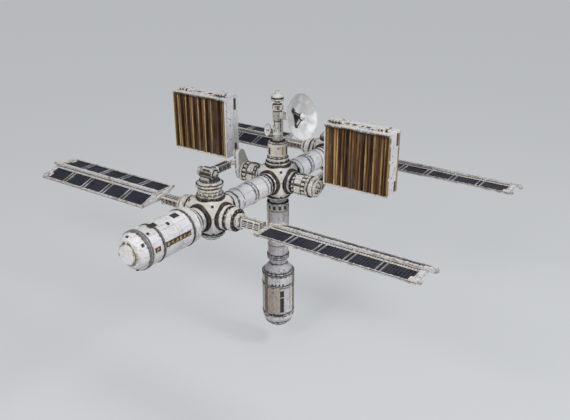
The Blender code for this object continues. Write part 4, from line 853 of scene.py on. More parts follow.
def boom_bays(bm):
    """Dark access bays on the closed side of the channel."""
    for index in range(3):
        y = BAY_START + index * BAY_PITCH
        slab(bm, (0.24, y, -0.19), (0.262, y + 0.34, 0.19), 0.008)
    slab(bm, (-0.16, 2.4, 0.27), (0.16, 3.55, 0.288), 0.006)


def boom_rods(bm):
    """Rods and clips that cross the bays."""
    for z in (-0.09, 0.0, 0.09):
        pipe(bm, [(0.26, 2.4, z), (0.285, 2.5, z), (0.285, 3.5, z), (0.26, 3.6, z)], 0.022)
    for index in range(4):
        y = 2.38 + index * 0.4
        slab(bm, (0.24, y, -0.24), (0.3, y + 0.05, 0.24), 0.008)
    for x in (-0.07, 0.07):
        pipe(bm, [(x, 2.36, 0.29), (x, 3.5, 0.305), (x, 3.62, 0.28)], 0.02)


def yoke_covers(bm):
    """Drive covers on the yoke and the stiffeners that run out to the horns."""
    for way in (-1, 1):
        slab(bm, (way * 0.55 - 0.16, 4.06, 0.06), (way * 0.55 + 0.16, 4.2, 0.13), 0.015)
        pipe(bm, [(way * 0.12, 3.9, 0.09), (way * 0.7, 4.02, 0.1), (way * 1.28, 4.2, 0.08)], 0.022)
        slab(bm, (way * 1.345 - 0.075, 4.16, -0.08), (way * 1.345 + 0.05, 4.28, 0.1), 0.012)
    slab(bm, (-0.2, 3.88, -0.11), (0.2, 4.1, 0.15), 0.02)


wing_places = {}
for name, (x, way) in WING_SIDES.items():
    fixed = Matrix.Translation(X * x) @ turned(90 - 90 * way, "Z")
    place = wing_places[name] = fixed @ turned(-WING_TILT, "Y")
    body = name + "_wing"
    joint_rings, boom_rings = [[way * ring for ring in rings] for rings in (JOINT_RINGS, BOOM_RINGS)]
    dress(hull_paint(name + "_joint_paint", 1, joint_rings, 0.028, 1.2), body + "_joint")
    dress(hull_paint(name + "_boom_paint", 1, boom_rings, 0.025, 1.2), name + "_boom")
    fitted(name + "_joint_latches", "station", hardware_cream, joint_latches, fixed)
    fitted(name + "_boom_drives", body, bare_metal, boom_drives, place)
    fitted(name + "_boom_bays", body, dark_fitting, boom_bays, place)
    fitted(name + "_boom_rods", body, hardware_cream, boom_rods, place)
    fitted(name + "_yoke_covers", body, hardware_cream, yoke_covers, place)


# Wing frames: welded aluminium box rails round each folded sheet, a ridge spar and paired cross
# bars, with clips along the rails, cable runs beside the spar and latches at the tip.
WING_ROOT, CELL_LENGTH, CELLS = 4.3, 1.74, 5
WING_LENGTH = CELL_LENGTH * CELLS
WING_TIP = WING_ROOT + WING_LENGTH
RAIL_CHORD, CABLE_CHORD = 1.345, 1.27
TRAYS, RIDGE_CLIPS, RAIL_CLIPS, CABLE_POINTS = 58, 34, 22, 40


def frame_paint(name, centre):
    """Chipped white on the rails and the spar, dull grey on the thin bars between the cells."""
    look, shader, place = surface(name)
    x, y = place.split()[:2]
    chord, span = abs(x - centre), abs(y)
    inside = span.between(WING_ROOT + 0.2, WING_ROOT + 0.4) * span.between(WING_TIP - 0.2, WING_TIP - 0.4)
    bars = chord.between(0.2, 0.24) * chord.between(1.27, 1.23) * inside
    lines = abs((chord / 0.055).maths("FRACT") - 0.5).between(0.36, 0.46) * chord.between(1.26, 1.3)
    chip = noise(place, 12.0, 4.0, 0.75)
    patch = noise(place, 4.5, 4.0, 0.7, (1.0, 0.5, 1.0))
    darkening = chip.between(0.54, 0.64) * patch.between(0.4, 0.56) * 0.95 | lines * 0.8
    colour = mixed((0.72, 0.70, 0.67, 1), (0.40, 0.385, 0.38, 1), patch.between(0.42, 0.62))
    colour = mixed(colour, (0.27, 0.26, 0.26, 1), bars * 0.9)
    weathered(shader, place, colour, darkening, chip * 0.6, 1.1, (3.0, 3.0, 3.0))
    return look


def spar_trays(bm):
    """Ribbed cable trays along both sides of the ridge."""
    for way in (-1, 1):
        for index in range(TRAYS):
            y = WING_ROOT + 0.08 + 8.6 * index / TRAYS
            slab(bm, (way * 0.20 - 0.07, y, 0.205), (way * 0.20 + 0.07, y + 0.1, 0.245), 0)
        pipe(bm, [(way * 0.29, y, 0.22) for y in (WING_ROOT + 0.06, WING_TIP - 0.06)], 0.016, 6)


def tip_plates(bm):
    """White end panels over the last cells."""
    for way in (-1, 1):
        slab(bm, (way * 0.75 - 0.42, 12.78, 0.2), (way * 0.75 + 0.42, 12.99, 0.232), 0.01,
             turned(way * 9.4, "Y"))


def spar_clips(bm):
    """Clips of uneven size along the ridge and even ones along both rails."""
    for index in range(RIDGE_CLIPS):
        y = WING_ROOT + 0.1 + WING_LENGTH * index / RIDGE_CLIPS
        wide = 0.075 if index % 3 else 0.1
        slab(bm, (-wide, y, 0.385), (wide, y + (0.12 if index % 2 else 0.17), 0.412), 0.006)
    for way, index in product((-1, 1), range(RAIL_CLIPS)):
        y = WING_ROOT + 0.15 + WING_LENGTH * index / RAIL_CLIPS
        slab(bm, (way * RAIL_CHORD - 0.04, y, 0.055), (way * RAIL_CHORD + 0.04, y + 0.09, 0.082), 0.006)


def spar_cables(bm):
    """A slack cable along each side of the ridge and a thin one inside each rail."""
    for way in (-1, 1):
        points = []
        for index in range(CABLE_POINTS):
            slack = 0.118 + 0.008 * math.sin(index * 1.9)
            points.append((way * slack, WING_ROOT + 0.05 + WING_LENGTH * index / (CABLE_POINTS - 1), 0.262))
        pipe(bm, points, 0.014, 6)
        pipe(bm, [(way * CABLE_CHORD, y, 0.058) for y in (WING_ROOT + 0.1, WING_TIP - 0.1)], 0.012, 6)


def tip_latches(bm):
    """Latch blocks, lugs and hooks on the end plate, and the lug on the ridge."""
    for way in (-1, 1):
        slab(bm, (way * 0.5 - 0.14, 13.05, 0.16), (way * 0.5 + 0.14, 13.26, 0.26), 0.015)
        slab(bm, (way * 1.3 - 0.06, 13.02, 0.05), (way * 1.3 + 0.06, 13.28, 0.13), 0.015)
        stud(bm, Vector((way * 0.85, 13.15, 0.15)), Z, 0.05, 0.04)
        pipe(bm, [(way * 1.0, 13.3, 0.02), (way * 1.0, 13.46, 0.03), (way * 1.16, 13.5, 0.05)], 0.022, 6)
    slab(bm, (-0.13, 13.04, 0.38), (0.13, 13.24, 0.45), 0.015)
    pipe(bm, [(0, 13.3, 0.42), (0, 13.58, 0.42)], 0.03)


for name, place in wing_places.items():
    body = name + "_wing"
    dress(frame_paint(name + "_frame_paint", WING_SIDES[name][0]), body + "_frame")
    fitted(name + "_spar_trays", body, hardware_cream, spar_trays, place)
    fitted(name + "_tip_plates", body, hardware_cream, tip_plates, place)
    fitted(name + "_spar_clips", body, hardware_cream, spar_clips, place)
    fitted(name + "_spar_cables", body, dark_fitting, spar_cables, place)
    fitted(name + "_tip_latches", body, hardware_cream, tip_latches, place)


# Solar blankets: folded sheets of glass-covered cells, clamped between the rails, in strings with
# thin silver lines between them.
CELL_WIDTH, CELL_DEPTH = 0.29, 0.174


def cell_look():
    """Dark cells of uneven tone, with silver lines between them and a film of dust."""
    look, shader, place = surface("solar_cells")
    x, y = place.split()[:2]
    x, y = x / CELL_WIDTH, y / CELL_DEPTH
    lines = highest([abs(step.maths("FRACT") - 0.5).between(0.5 - width, 0.5 - width * 0.3) * show
                     for step, width, show in ((x, 0.03, 0.4), (y, 0.085, 1.0))])
    cell = x.node("CombineXYZ", (), {0: x.maths("FLOOR"), 1: y.maths("FLOOR")})
    tone = cell.node("TexWhiteNoise", (), {"Vector": cell})
    cloud = noise(place, 1.1, 4.0, 0.6)
    dust = noise(place, 6.0, 4.0, 0.7)
    colour = mixed((0.006, 0.009, 0.020, 1), (0.018, 0.020, 0.036, 1), tone.between(0.1, 0.9))
    colour = mixed(colour, (0.036, 0.032, 0.044, 1), cloud.between(0.4, 0.66) * 0.7)
    colour = mixed(colour, (0.15, 0.15, 0.18, 1), lines * 0.7)
    feed(shader, "Base Color", mixed(colour, (0.10, 0.09, 0.095, 1), dust.between(0.56, 0.76) * 0.5))
    feed(shader, "Roughness", 0.34 + dust * 0.25)
    bump(shader, lines, 0.3, 0.006)
    shader.inputs["Specular IOR Level"].default_value = 0.2
    return look


dress(cell_look(), *[name + "_solar_blanket" for name in WING_SIDES])

# Swivels and swing arms: geared hubs bolted to the centre node and the arms that they turn, milled
# from plate with a pocket. Each has bolted covers, hoses and a drive box.
ARM_SIDES = {"left": (-1, 15), "right": (1, -72)}
SWIVEL_RINGS, SWING_RING = (1.12, 1.32, 1.41, 2.42, 2.65), 2.955
SWING_FACE = 3.0165
SWING_SEAT = SWING_FACE - 0.07


def swivel_latches(bm):
    """Two rings of latches, the housings between them and the inner ring's bolts."""
    for spin in spaced(14, "Y"):
        slab(bm, (0.56, 1.46, -0.05), (0.66, 1.56, 0.05), 0.01, spin)
        slab(bm, (0.58, 2.18, -0.07), (0.69, 2.4, 0.07), 0.014, spin)
    for turn, low, high, wide in ((20, 1.65, 2.1, 0.16), (75, 1.7, 2.0, 0.12), (140, 1.6, 2.1, 0.2),
                                  (230, 1.7, 2.1, 0.16), (300, 1.62, 2.05, 0.14)):
        slab(bm, (0.58, low, -wide), (0.69, high, wide), 0.02, turned(turn, "Y"))
    ring_bolts(bm, Y * 1.33, Y, 0.66, 18, 0.018, 0.016)


def swivel_hoses(bm):
    """Dark hoops, dark slabs for the painted shade in the gaps between the latches, and a block and a hose
    in each bay.
    """
    hoops(bm, (1.41, 1.6, 2.13, 2.44), 0.6, 0.035, 0.07, 36, turned(90, "Z"))
    # Dark slabs in the gaps between the latches stand for painted shade.
    for spin in spaced(14, "Y", 0.5):
        slab(bm, (0.56, 2.19, -0.055), (0.655, 2.39, 0.055), 0.01, spin)
        slab(bm, (0.56, 1.46, -0.05), (0.64, 1.56, 0.05), 0.01, spin)
    for turn in (-12, 48, 108, 175, 262):
        spin = turned(turn, "Y")
        slab(bm, (0.6, 1.66, -0.05), (0.65, 2.08, 0.05), 0.01, spin)
        pipe(bm, [spin @ Vector(point) for point in ((0.6, 1.5, 0.09), (0.6, 1.6, 0.09), (0.67, 1.75, 0.09),
                                                     (0.67, 2.0, 0.12), (0.6, 2.2, 0.12))], 0.02, 6)


def swing_covers(bm):
    """Covers on the outer face of the hub and along both flanks of the arm."""
    seat = toward((0, SWING_SEAT, 0), Y)
    lathe(bm, [(0.40, 0.0), (0.5, 0.0), (0.5, 0.09), (0.46, 0.12), (0.42, 0.12), (0.40, 0.09)], 36, seat)
    lathe(bm, [(0, 0), (0.3, 0), (0.3, 0.06), (0.26, 0.09), (0.12, 0.09), (0.1, 0.13), (0, 0.13)], 24, seat)
    ring_bolts(bm, Y * (SWING_FACE - 0.005), Y, 0.23, 10, 0.024, 0.02)
    for low, high, wide in ((0.42, 0.58, 0.15), (0.76, 0.88, 0.11)):
        slab(bm, (-wide, SWING_SEAT, low), (wide, SWING_FACE + 0.03, high), 0.02)
    for turn in range(20, 360, 40):
        slab(bm, (0.36, SWING_SEAT, -0.04), (0.54, SWING_FACE + 0.02, 0.04), 0.012, turned(turn, "Y"))
    for way in (-1, 1):
        slab(bm, (way * 0.50 - 0.08, 2.72, 0.2), (way * 0.50 + 0.08, 2.95, 0.46), 0.02)
    for hose, thick in ((((0.1, 0, 0.3), (0.2, 0.05, 0.5), (0.1, 0.06, 0.8), (0.16, 0.03, 1.05)), 0.03),
                        (((-0.12, 0, 0.3), (-0.22, 0.04, 0.55), (-0.1, 0.05, 0.95)), 0.024)):
        pipe(bm, [Y * SWING_FACE + Vector(point) for point in hose], thick)


def swing_bores(bm):
    """Dark bores in the hub's face, and dark slabs standing for the painted shade in the arm's pocket."""
    for turn, away, lift in ((120, 0.17, -0.03), (235, 0.19, -0.03), (0, 0.0, 0.015)):
        centre = turned(turn, "Y") @ (Z * away) + Y * (SWING_FACE + lift)
        lathe(bm, [(0, 0), (0.055, 0), (0.055, 0.09), (0, 0.09)], 16, toward(centre, Y))
    # Dark slabs for the painted shade in the pocket.
    for way in (-1, 1):
        slab(bm, (way * 0.3 - 0.06, SWING_SEAT, 0.34), (way * 0.3 + 0.06, SWING_FACE - 0.01, 0.66), 0.015)


def handed(build, way):
    """The same gear for either side, with Y turned over for the left one."""
    def built(bm):
        build(bm)
        bmesh.ops.scale(bm, vec=(1, way, 1), verts=bm.verts)
    return built


for name, (way, swing) in ARM_SIDES.items():
    body, place = name + "_swing", turned(swing, "Y")
    rings = [way * ring for ring in SWIVEL_RINGS]
    dress(hull_paint(name + "_swivel_paint", 1, rings, 0.04, 1.6), name + "_swivel")
    dress(hull_paint(name + "_swing_paint", 1, [way * SWING_RING], 0.03, 1.4), name + "_swing_arm")
    fitted(name + "_swivel_latches", "station", hardware_cream, handed(swivel_latches, way))
    fitted(name + "_swivel_hoses", "station", dark_fitting, handed(swivel_hoses, way))
    fitted(name + "_swing_covers", body, hardware_cream, handed(swing_covers, way), place)
    fitted(name + "_swing_bores", body, dark_fitting, handed(swing_bores, way), place)


# Boxes: white aluminium cores that hold a pack of pleats on each face and are pinned to the swing
# arms. Rollers, clips and hoses are fixed to the rails, and slots are cut up both side walls.
SWING_LENGTH, BOX_SHIFT = 1.29, 0.23
BOX_INNER, BOX_WIDTH, BOX_LOW, BOX_HIGH = 3.2, 4.4, -0.175, 3.745
BOX_OUTER = BOX_INNER + BOX_WIDTH
SIDE_WALLS = ((BOX_INNER, -1), (BOX_OUTER, 1))
RAIL_FACE = 0.645
TOP_CLIPS, LOW_CLIPS, CLIP_START, CLIP_RUN = 26, 22, BOX_INNER + 0.1, 4.25
box_places = {name: turned(swing, "Y") @ (Z * SWING_LENGTH) + X * BOX_SHIFT
              for name, (way, swing) in ARM_SIDES.items()}


def box_rollers(bm):
    """Drive units and rollers on the top rail, its clips and two hoses."""
    for low, high, tall, front in ((3.2, 3.46, 0.24, 0.2), (3.5, 4.0, 0.28, 0.42), (4.08, 4.36, 0.16, 0.34),
                                   (5.2, 5.4, 0.07, 0.5), (6.4, 6.66, 0.14, 0.3), (6.74, 7.1, 0.22, 0.4),
                                   (7.2, 7.42, 0.13, 0.3)):
        slab(bm, (-0.3, low, BOX_HIGH - 0.02), (front, high, BOX_HIGH + tall), 0.03)
    for y in (3.3, 3.75, 4.3, 6.4, 6.9, 7.35):
        lathe(bm, [(0, -0.3), (0.05, -0.3), (0.055, -0.1), (0.05, 0.1), (0.055, 0.3), (0, 0.3)], 12,
              toward((0.1, y, BOX_HIGH + 0.09), X))
    for index in range(TOP_CLIPS):
        y = CLIP_START + CLIP_RUN * index / TOP_CLIPS
        slab(bm, (RAIL_FACE - 0.05, y, BOX_HIGH - 0.09), (RAIL_FACE + 0.02, y + 0.08, BOX_HIGH + 0.02),
             0.008)
    for hose, thick in ((((0.36, 4.4, 0.04), (0.4, 4.9, 0.05), (0.3, 5.5, 0.03), (0.38, 6.2, 0.05)), 0.03),
                        (((-0.2, 4.4, 0.03), (-0.1, 5.2, 0.04), (-0.22, 6.2, 0.04)), 0.022)):
        pipe(bm, [Z * BOX_HIGH + Vector(point) for point in hose], thick)


def box_clips(bm):
    """The lower rail's clips and the corner blocks of both side walls."""
    for index in range(LOW_CLIPS):
        y = CLIP_START + CLIP_RUN * index / LOW_CLIPS
        tall = 0.05 if index % 3 else 0.09
        slab(bm, (RAIL_FACE - 0.06, y, BOX_LOW - 0.02), (RAIL_FACE + 0.03, y + 0.11, BOX_LOW + tall), 0.01)
    for y, way in SIDE_WALLS:
        for z in (BOX_LOW + 0.02, 0.9, 2.0, 3.0, BOX_HIGH - 0.24):
            slab(bm, (RAIL_FACE - 0.2, y - way * 0.02, z), (RAIL_FACE - 0.03, y + way * 0.03, z + 0.16),
                 0.012)
        slab(bm, (-0.32, y - way * 0.02, 1.2), (-0.1, y + way * 0.025, 1.5), 0.012)


def box_slots(bm):
    """Dark slots in the side walls and under the top rail."""
    for y, way in SIDE_WALLS:
        inner, outer = y - way * 0.03, y + way * 0.006
        for low, high in ((-0.02, 0.66), (2.84, 3.64)):
            slab(bm, (-0.46, inner, low), (-0.2, outer, high), 0.02)
        slab(bm, (0.51, inner, BOX_LOW + 0.1), (0.535, outer, BOX_HIGH - 0.16), 0.004)
        for low in (0.95, 1.9, 2.3):
            slab(bm, (0.1, inner, low), (0.22, outer, low + 0.06), 0.006)
    for index in range(9):
        y = 3.35 + index * 0.47
        slab(bm, (-0.1, y, BOX_HIGH - 0.02), (0.3, y + 0.3, BOX_HIGH + 0.008), 0.004)
        slab(bm, (RAIL_FACE - 0.02, y + 0.05, BOX_HIGH - 0.13),
             (RAIL_FACE + 0.006, y + 0.4, BOX_HIGH - 0.085), 0.003)


def drive_gaps(bm):
    """Dark gearboxes between the drive units on the top rail, and the hose in front of them."""
    for low, high, front in ((3.44, 3.52, 0.3), (3.98, 4.1, 0.36), (6.64, 6.76, 0.34), (7.08, 7.22, 0.34)):
        slab(bm, (-0.36, low, BOX_HIGH - 0.02), (front, high, BOX_HIGH + 0.13), 0.012)
    for y in (3.6, 3.8, 6.85):
        slab(bm, (0.38, y, BOX_HIGH + 0.04), (0.43, y + 0.12, BOX_HIGH + 0.16), 0.01)
    pipe(bm, [Z * BOX_HIGH + Vector(point) for point in (
        (0.3, 3.3, 0.1), (0.46, 3.4, 0.14), (0.5, 3.75, 0.06), (0.46, 4.1, 0.12), (0.3, 4.3, 0.05))], 0.035)


def core_paint(name, middle, top):
    """White paint, with the folded foil's edge and its shadow on the top rail's face."""
    look, shader, place = surface(name)
    x, z = place.split()[::2]
    stain = noise(place, 3.4, 5.0, 0.7)
    face = abs(x - middle).between(0.6, 0.63) * z.between(top - 0.045, top - 0.06)
    face = face * z.between(top - 0.3, top - 0.2)
    colour = mixed((0.84, 0.82, 0.81, 1), (0.16, 0.085, 0.04, 1), face)
    weathered(shader, place, colour, stain.between(0.6, 0.68) * 0.7, stain * 0.3, 0.9)
    return look


for name, (way, swing) in ARM_SIDES.items():
    body, centre = name + "_box", box_places[name]
    place = Matrix.Translation(centre)
    dress(core_paint(name + "_core_paint", centre.x, centre.z + BOX_HIGH), name + "_box_core")
    fitted(name + "_box_rollers", body, hardware_cream, handed(box_rollers, way), place)
    fitted(name + "_box_clips", body, hardware_cream, handed(box_clips, way), place)
    fitted(name + "_box_slots", body, dark_fitting, handed(box_slots, way), place)
    fitted(name + "_drive_gaps", body, dark_fitting, handed(drive_gaps, way), place)


# Pleats: gold-coated foil, folded into one pack on each face. The crests are painted lighter
# as painted highlights with thin painted glints, the valleys darker as painted shade, soot
# flecks lie over both, and a painted shadow darkens the foil under the top rail. A hem closes
# the outer end of each pack.
CORE_HALF = 0.475
CREST, VALLEY = CORE_HALF + 0.165, CORE_HALF + 0.035
SHADOW_AND_SOOT = (0.02, 0.014, 0.012, 1)


def pleat_look(name, crest, valley, top):
    """Foil with painted shade in its valleys at the valley's x and painted highlights towards its crest's x,
    and a painted shadow under the top rail.
    """
    look, shader, place = surface(name)
    x, z = place.split()[::2]
    column = noise(place, 3.0, 4.0, 0.65, (0.25, 2.6, 0.045))
    glint_lines = noise(place, 9.0, 3.0, 0.6, (0.25, 3.0, 0.03))
    crinkle = noise(place, 9.0, 5.0, 0.7, (1.0, 1.6, 0.35))
    patch = noise(place, 0.9, 3.0, 0.6, (1.0, 1.4, 0.5))
    # Painted light: crests lighter as painted highlights, valleys darker as painted shade, with random
    # columns of tone.
    lit = x.between(valley, crest) * 0.55 + column.between(0.3, 0.7) * 0.55 - 0.12
    colour = mixed((0.020, 0.012, 0.009, 1), (0.15, 0.075, 0.035, 1), lit.between(0.1, 0.45))
    colour = mixed(colour, (0.44, 0.235, 0.085, 1), lit.between(0.4, 0.75))
    # Thin bright gold lines are painted glints on the crests.
    colour = mixed(colour, (0.92, 0.62, 0.26, 1), lit.between(0.5, 0.75) * glint_lines.between(0.47, 0.56))
    colour = mixed(colour, (0.15, 0.13, 0.11, 1), patch.between(0.5, 0.68) * 0.45)
    colour = mixed(colour, SHADOW_AND_SOOT, crinkle.between(0.56, 0.68) * 0.7)
    # Painted shadow of the top rail over the upper foil.
    feed(shader, "Base Color", mixed(colour, SHADOW_AND_SOOT, z.between(top - 0.42, top - 0.16) * 0.75))
    shader.inputs["Metallic"].default_value = 0.15
    shader.inputs["Specular IOR Level"].default_value = 0.25
    feed(shader, "Roughness", 0.45 + crinkle * 0.3)
    bump(shader, crinkle + glint_lines * 0.6, 0.7, 0.03)
    return look


def gold_hems(bm):
    for way in (-1, 1):
        slab(bm, (way * (CORE_HALF + 0.01), BOX_OUTER - 0.07, BOX_LOW + 0.1),
             (way * (RAIL_FACE + 0.02), BOX_OUTER + 0.004, BOX_HIGH - 0.155), 0.015)


hem_gold = plain_paint("gold_hem", (0.50, 0.32, 0.12, 1), 0.8, 0.4)
for name, (way, swing) in ARM_SIDES.items():
    centre = box_places[name]
    for face, side in (("_front_pleats", 1), ("_back_pleats", -1)):
        dress(pleat_look(name + face + "_foil", centre.x + side * CREST, centre.x + side * VALLEY,
                         centre.z + BOX_HIGH), name + face)
    fitted(name + "_gold_hems", name + "_box", hem_gold, handed(gold_hems, way), Matrix.Translation(centre))

# Tower and mast: a short welded drum on the centre node's upper port, with the turned antenna pole
# bolted to its lid. Sensor boxes, cables and whip antennas are strapped to the pole.
TOWER_RINGS = (1.12, 1.25, 1.34, 1.53, 1.62, 2.48, 2.58)
MAST_RINGS = (2.6, 2.68, 3.0, 3.86, 4.5, 4.52, 4.9, 4.94, 5.16, 5.29, 5.34)


def tower_latches(bm):
    """Three rings of latches at the foot, access covers up the drum and the lid's bolts."""
    for spin in spaced(12, "Z", 0.5):
        slab(bm, (0.66, -0.05, 1.36), (0.712, 0.05, 1.5), 0.012, spin)
        slab(bm, (0.55, -0.04, 1.53), (0.64, 0.04, 1.61), 0.01, spin)
        slab(bm, (0.56, -0.04, 1.25), (0.66, 0.04, 1.34), 0.01, spin)
    for turn, low, high, wide in ((20, 1.72, 2.3, 0.13), (80, 1.8, 2.4, 0.1), (180, 1.75, 2.3, 0.16),
                                  (260, 1.8, 2.3, 0.12)):
        slab(bm, (0.58, -wide, low), (0.645, wide, high), 0.015, turned(turn, "Z"))
    ring_bolts(bm, Z * 2.5, Z, 0.58, 16, 0.016, 0.02)


def tower_windows(bm):
    for turn, high, wide in ((-22, 2.2, 0.09), (100, 2.3, 0.07), (150, 2.2, 0.1), (225, 2.2, 0.09)):
        slab(bm, (0.58, -wide, 1.75), (0.628, wide, high), 0.01, turned(turn, "Z"))


def tower_marker(bm):
    for turn in (66, 300):
        slab(bm, (0.58, -0.07, 1.78), (0.632, 0.07, 2.3), 0.01, turned(turn, "Z"))


def mast_boxes(bm):
    """Sensor boxes, the straps that hold them and the bead of the pole's head."""
    for height, turn, wide, tall, deep in ((3.3, -15, 0.1, 0.14, 0.1), (3.5, 200, 0.1, 0.2, 0.1),
                                           (4.6, 88, 0.11, 0.14, 0.16), (4.68, 10, 0.07, 0.1, 0.06),
                                           (3.78, 330, 0.07, 0.1, 0.08)):
        slab(bm, (0.2, -wide, height), (0.24 + deep, wide, height + tall * 2), 0.015, turned(turn, "Z"))
    for height, reach in ((2.95, 0.25), (3.35, 0.25), (3.75, 0.25), (4.56, 0.32), (4.86, 0.32)):
        lathe(bm, [(0.2, 0), (reach, 0), (reach, 0.04), (0.2, 0.04)], 24, Matrix.Translation(Z * height))
    lathe(bm, [(0.38, 0), (0.404, 0.005), (0.404, 0.035), (0.38, 0.04)], 28, Matrix.Translation(Z * 5.2))


def mast_shades(bm):
    """Dark access strips up the pole, and slots in its head."""
    for turn in (92, 250):
        for low, high in ((2.88, 3.32), (3.4, 3.72), (3.78, 3.98)):
            slab(bm, (0.2, -0.045, low), (0.252, 0.045, high), 0.008, turned(turn, "Z"))
    for turn in (40, 118, 200, 300):
        slab(bm, (0.28, -0.05, 4.62), (0.325, 0.05, 4.84), 0.01, turned(turn, "Z"))


def mast_whips(bm):
    """Whip antennas on top and two cables up the pole."""
    for x, y, high in ((-0.1, 0.05, 5.78), (0.06, -0.07, 5.786), (0.02, 0.1, 5.75)):
        pipe(bm, [(x, y, 5.55), (x, y, high)], 0.012, 6)
    pipe(bm, [(0.24, -0.06, 2.88), (0.26, -0.07, 3.4), (0.24, -0.06, 3.97)], 0.02, 6)
    pipe(bm, [(-0.2, -0.16, 2.88), (-0.21, -0.17, 3.5), (-0.2, -0.16, 3.97)], 0.018, 6)


dress(hull_paint("tower_paint", 2, TOWER_RINGS, 0.024, 1.1), "tower")
dress(hull_paint("mast_paint", 2, MAST_RINGS, 0.03, 2.2, (0.70, 0.67, 0.62, 1)), "mast")
fitted("tower_latches", "station", hardware_cream, tower_latches)
fitted("tower_windows", "station", dark_fitting, tower_windows)
fitted("tower_marker", "station", orange_paint, tower_marker)
fitted("mast_boxes", "station", hardware_cream, mast_boxes)
fitted("mast_shades", "station", dark_fitting, mast_shades)
fitted("mast_whips", "station", dark_fitting, mast_whips)

# Dishes: spun aluminium bowls, painted white inside. The main one has a rolled rim, pressed
# ribs behind, and a horn on three legs; its fork stands on a beam that turns on the pole.
DISH_AZIMUTH, DISH_ELEVATION = math.radians(84.2), math.radians(15.2)
DISH_CENTRE, DISH_RADIUS, DISH_DEPTH = Vector((0.2025, 1.974, 4.461)), 1.406, 0.5
BEAM_HEIGHT = 4.24
SMALL_AZIMUTH, SMALL_ELEVATION = math.radians(-24), math.radians(12)
SMALL_VERTEX, SMALL_RADIUS = Vector((-0.06, -0.72, 3.1)), 0.39
BOWL_AXIS = toward((0, 0, 0), X)


def aimed(vertex, azimuth, elevation):
    """The frame at a bowl's lowest point, with X looking out of the bowl."""
    return (Matrix.Translation(vertex) @ Matrix.Rotation(azimuth, 4, "Z")
            @ Matrix.Rotation(-elevation, 4, "Y"))


dish_aim = aimed((0, 0, 0), DISH_AZIMUTH, DISH_ELEVATION)
dish_vertex = DISH_CENTRE - dish_aim @ (X * DISH_DEPTH)
dish_place = aimed(dish_vertex, DISH_AZIMUTH, DISH_ELEVATION)
small_place = aimed(SMALL_VERTEX, SMALL_AZIMUTH, SMALL_ELEVATION)


def dish_paint(name, vertex, azimuth, elevation, radius):
    """White paint with large patches of painted shade, radial smears, petal seams, a brown tide line and a
    dark hub.
    """
    look, shader, place = surface(name)
    spot = place.node("VectorMath", {"operation": "SUBTRACT"}, {0: place, 1: tuple(vertex)})
    aim = spot.node("VectorRotate", {"rotation_type": "EULER_XYZ", "invert": True},
                    {"Vector": spot, "Rotation": (0, -elevation, azimuth)})
    u, v = aim.split()[1:]
    away = (u * u + v * v).maths("SQRT") / radius
    petal = abs((v.maths("ARCTAN2", u) * (12 / math.tau)).maths("FRACT") - 0.5).between(0.48, 0.495)
    seams = petal | abs(away - 0.62).between(0.012, 0.004)
    smear = noise(place, 1.6, 4.0, 0.65)
    shade = noise(place, 0.9, 2.0, 0.5)
    fine = noise(place, 10.0, 4.0, 0.7)
    mark = abs(v + 0.3).between(0.035, 0.02) * abs(u - 0.35).between(0.3, 0.22)
    # Grey patches of painted shade over the white.
    colour = mixed((0.86, 0.855, 0.85, 1), (0.54, 0.53, 0.53, 1), shade.between(0.46, 0.64) * 0.8)
    colour = mixed(colour, (0.60, 0.52, 0.42, 1), smear.between(0.56, 0.74) * 0.5)
    colour = mixed(colour, (0.34, 0.31, 0.29, 1), seams * 0.35)
    colour = mixed(colour, (0.62, 0.36, 0.13, 1), mark * 0.8)
    hub = away.between(0.22, 0.12) * fine.between(0.3, 0.55)
    feed(shader, "Base Color", mixed(colour, (0.10, 0.09, 0.085, 1), hub))
    feed(shader, "Roughness", 0.4 + smear * 0.25)
    bump(shader, fine * 0.4 - seams, 0.4, 0.01)
    return look


def behind_bowl(radius, gap):
    """The distance along X of a point behind the bowl's skin, at a radius."""
    return DISH_DEPTH * (radius / DISH_RADIUS) ** 2 - gap


def dish_rim(bm):
    lathe(bm, [(DISH_RADIUS - 0.035, 0.47), (DISH_RADIUS - 0.012, 0.455), (DISH_RADIUS - 0.004, 0.49),
               (DISH_RADIUS - 0.01, 0.515), (DISH_RADIUS - 0.03, 0.505)], 72, BOWL_AXIS)


def dish_ribs(bm):
    """Pressed ribs behind the bowl, and the ring that ties them."""
    for spin in spaced(12, "X"):
        pipe(bm, [spin @ Vector((behind_bowl(away, 0.05), 0, away))
                  for away in (0.25, 0.5, 0.75, 1.0, 1.2, 1.38)], 0.022, 6)
    pipe(bm, [X * behind_bowl(0.8, 0.06) + outward(10 * step) * 0.8 for step in range(37)], 0.026, 6)


def feed_base(bm):
    """The dark casting round the feed's foot, its leg shoes and the ring under the horn."""
    lathe(bm, [(0.0, 0.09), (0.13, 0.09), (0.16, 0.03), (0.18, 0.0), (0.0, -0.005)], 24, BOWL_AXIS)
    for spin in spaced(3, "X"):
        slab(bm, (0.03, 0.42, -0.13), (0.17, 0.68, 0.13), 0.03, spin)
        slab(bm, (0.04, 0.15, -0.05), (0.12, 0.5, 0.05), 0.01, spin)
        pipe(bm, [spin @ Vector(point) for point in ((0.14, 0.56, 0.06), (0.34, 0.3, 0.05),
                                                     (0.5, 0.12, 0))], 0.035)
    lathe(bm, [(0.19, 0.40), (0.23, 0.41), (0.23, 0.47), (0.19, 0.48)], 24, BOWL_AXIS)


def feed_horn(bm):
    lathe(bm, [(0, 0.5), (0.21, 0.5), (0.225, 0.54), (0.17, 0.62), (0.09, 0.745), (0, 0.75)], 24, BOWL_AXIS)
    for spin in spaced(3, "X"):
        pipe(bm, [spin @ Vector(point) for point in ((0.09, 0.54, 0), (0.2, 0.36, 0),
                                                     (0.42, 0.14, 0))], 0.056)


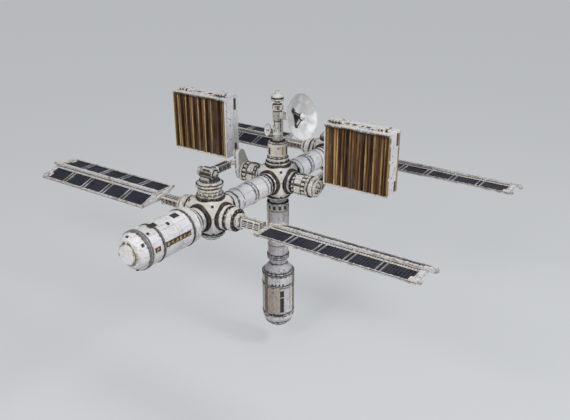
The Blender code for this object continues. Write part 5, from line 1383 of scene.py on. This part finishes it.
def bracket_motor(bm):
    """Motor housing and bolts on the beam, and the clamp's lugs."""
    slab(bm, (0.3, -0.15, 0.0), (0.62, 0.15, 0.24), 0.02)
    slab(bm, (0.36, -0.2, -0.14), (0.56, 0.2, -0.02), 0.02)
    for z in (-0.12, 0.12):
        slab(bm, (-0.36, -0.05, z - 0.04), (-0.26, 0.05, z + 0.04), 0.01)
    for way in (-1, 1):
        stud(bm, Vector((0.68, way * 0.14, 0.08)), Y * way, 0.03, 0.03)
        stud(bm, Vector((0.45, way * 0.196, -0.08)), Y * way, 0.03, 0.03)


def small_feed(bm):
    """The small dish's rolled rim, its feed, the drive behind it and a cable."""
    lathe(bm, [(0.36, 0.08), (0.395, 0.075), (0.4, 0.1), (0.385, 0.112), (0.37, 0.105)], 36, BOWL_AXIS)
    lathe(bm, [(0, 0), (0.05, 0), (0.03, 0.06), (0.03, 0.15), (0.055, 0.18), (0, 0.2)], 14, BOWL_AXIS)
    slab(bm, (-0.2, -0.09, -0.12), (-0.06, 0.09, 0.12), 0.02)
    pipe(bm, [(-0.12, 0.05, -0.1), (-0.3, 0.12, -0.16), (-0.32, 0.3, -0.1)], 0.02, 6)


white_part = plain_paint("white_part", (0.80, 0.79, 0.77, 1), 0.6)
dress(plain_paint("bracket_paint", (0.56, 0.53, 0.48, 1), 1.3, 0.2), "dish_bracket")
dress(dish_paint("main_dish_paint", dish_vertex, DISH_AZIMUTH, DISH_ELEVATION, DISH_RADIUS), "main_dish")
fitted("dish_rim", "dish", white_part, dish_rim, dish_place)
fitted("dish_ribs", "dish", hardware_cream, dish_ribs, dish_place)
fitted("feed_base", "dish", dark_fitting, feed_base, dish_place)
fitted("feed_horn", "dish", white_part, feed_horn, dish_place)
fitted("bracket_motor", "dish_mount", hardware_cream, bracket_motor,
       Matrix.Translation(Z * BEAM_HEIGHT) @ Matrix.Rotation(DISH_AZIMUTH, 4, "Z"))
dress(dish_paint("small_dish_paint", SMALL_VERTEX, SMALL_AZIMUTH, SMALL_ELEVATION, SMALL_RADIUS),
      "small_dish")
fitted("small_dish_feed", "station", bare_metal, small_feed, small_place)
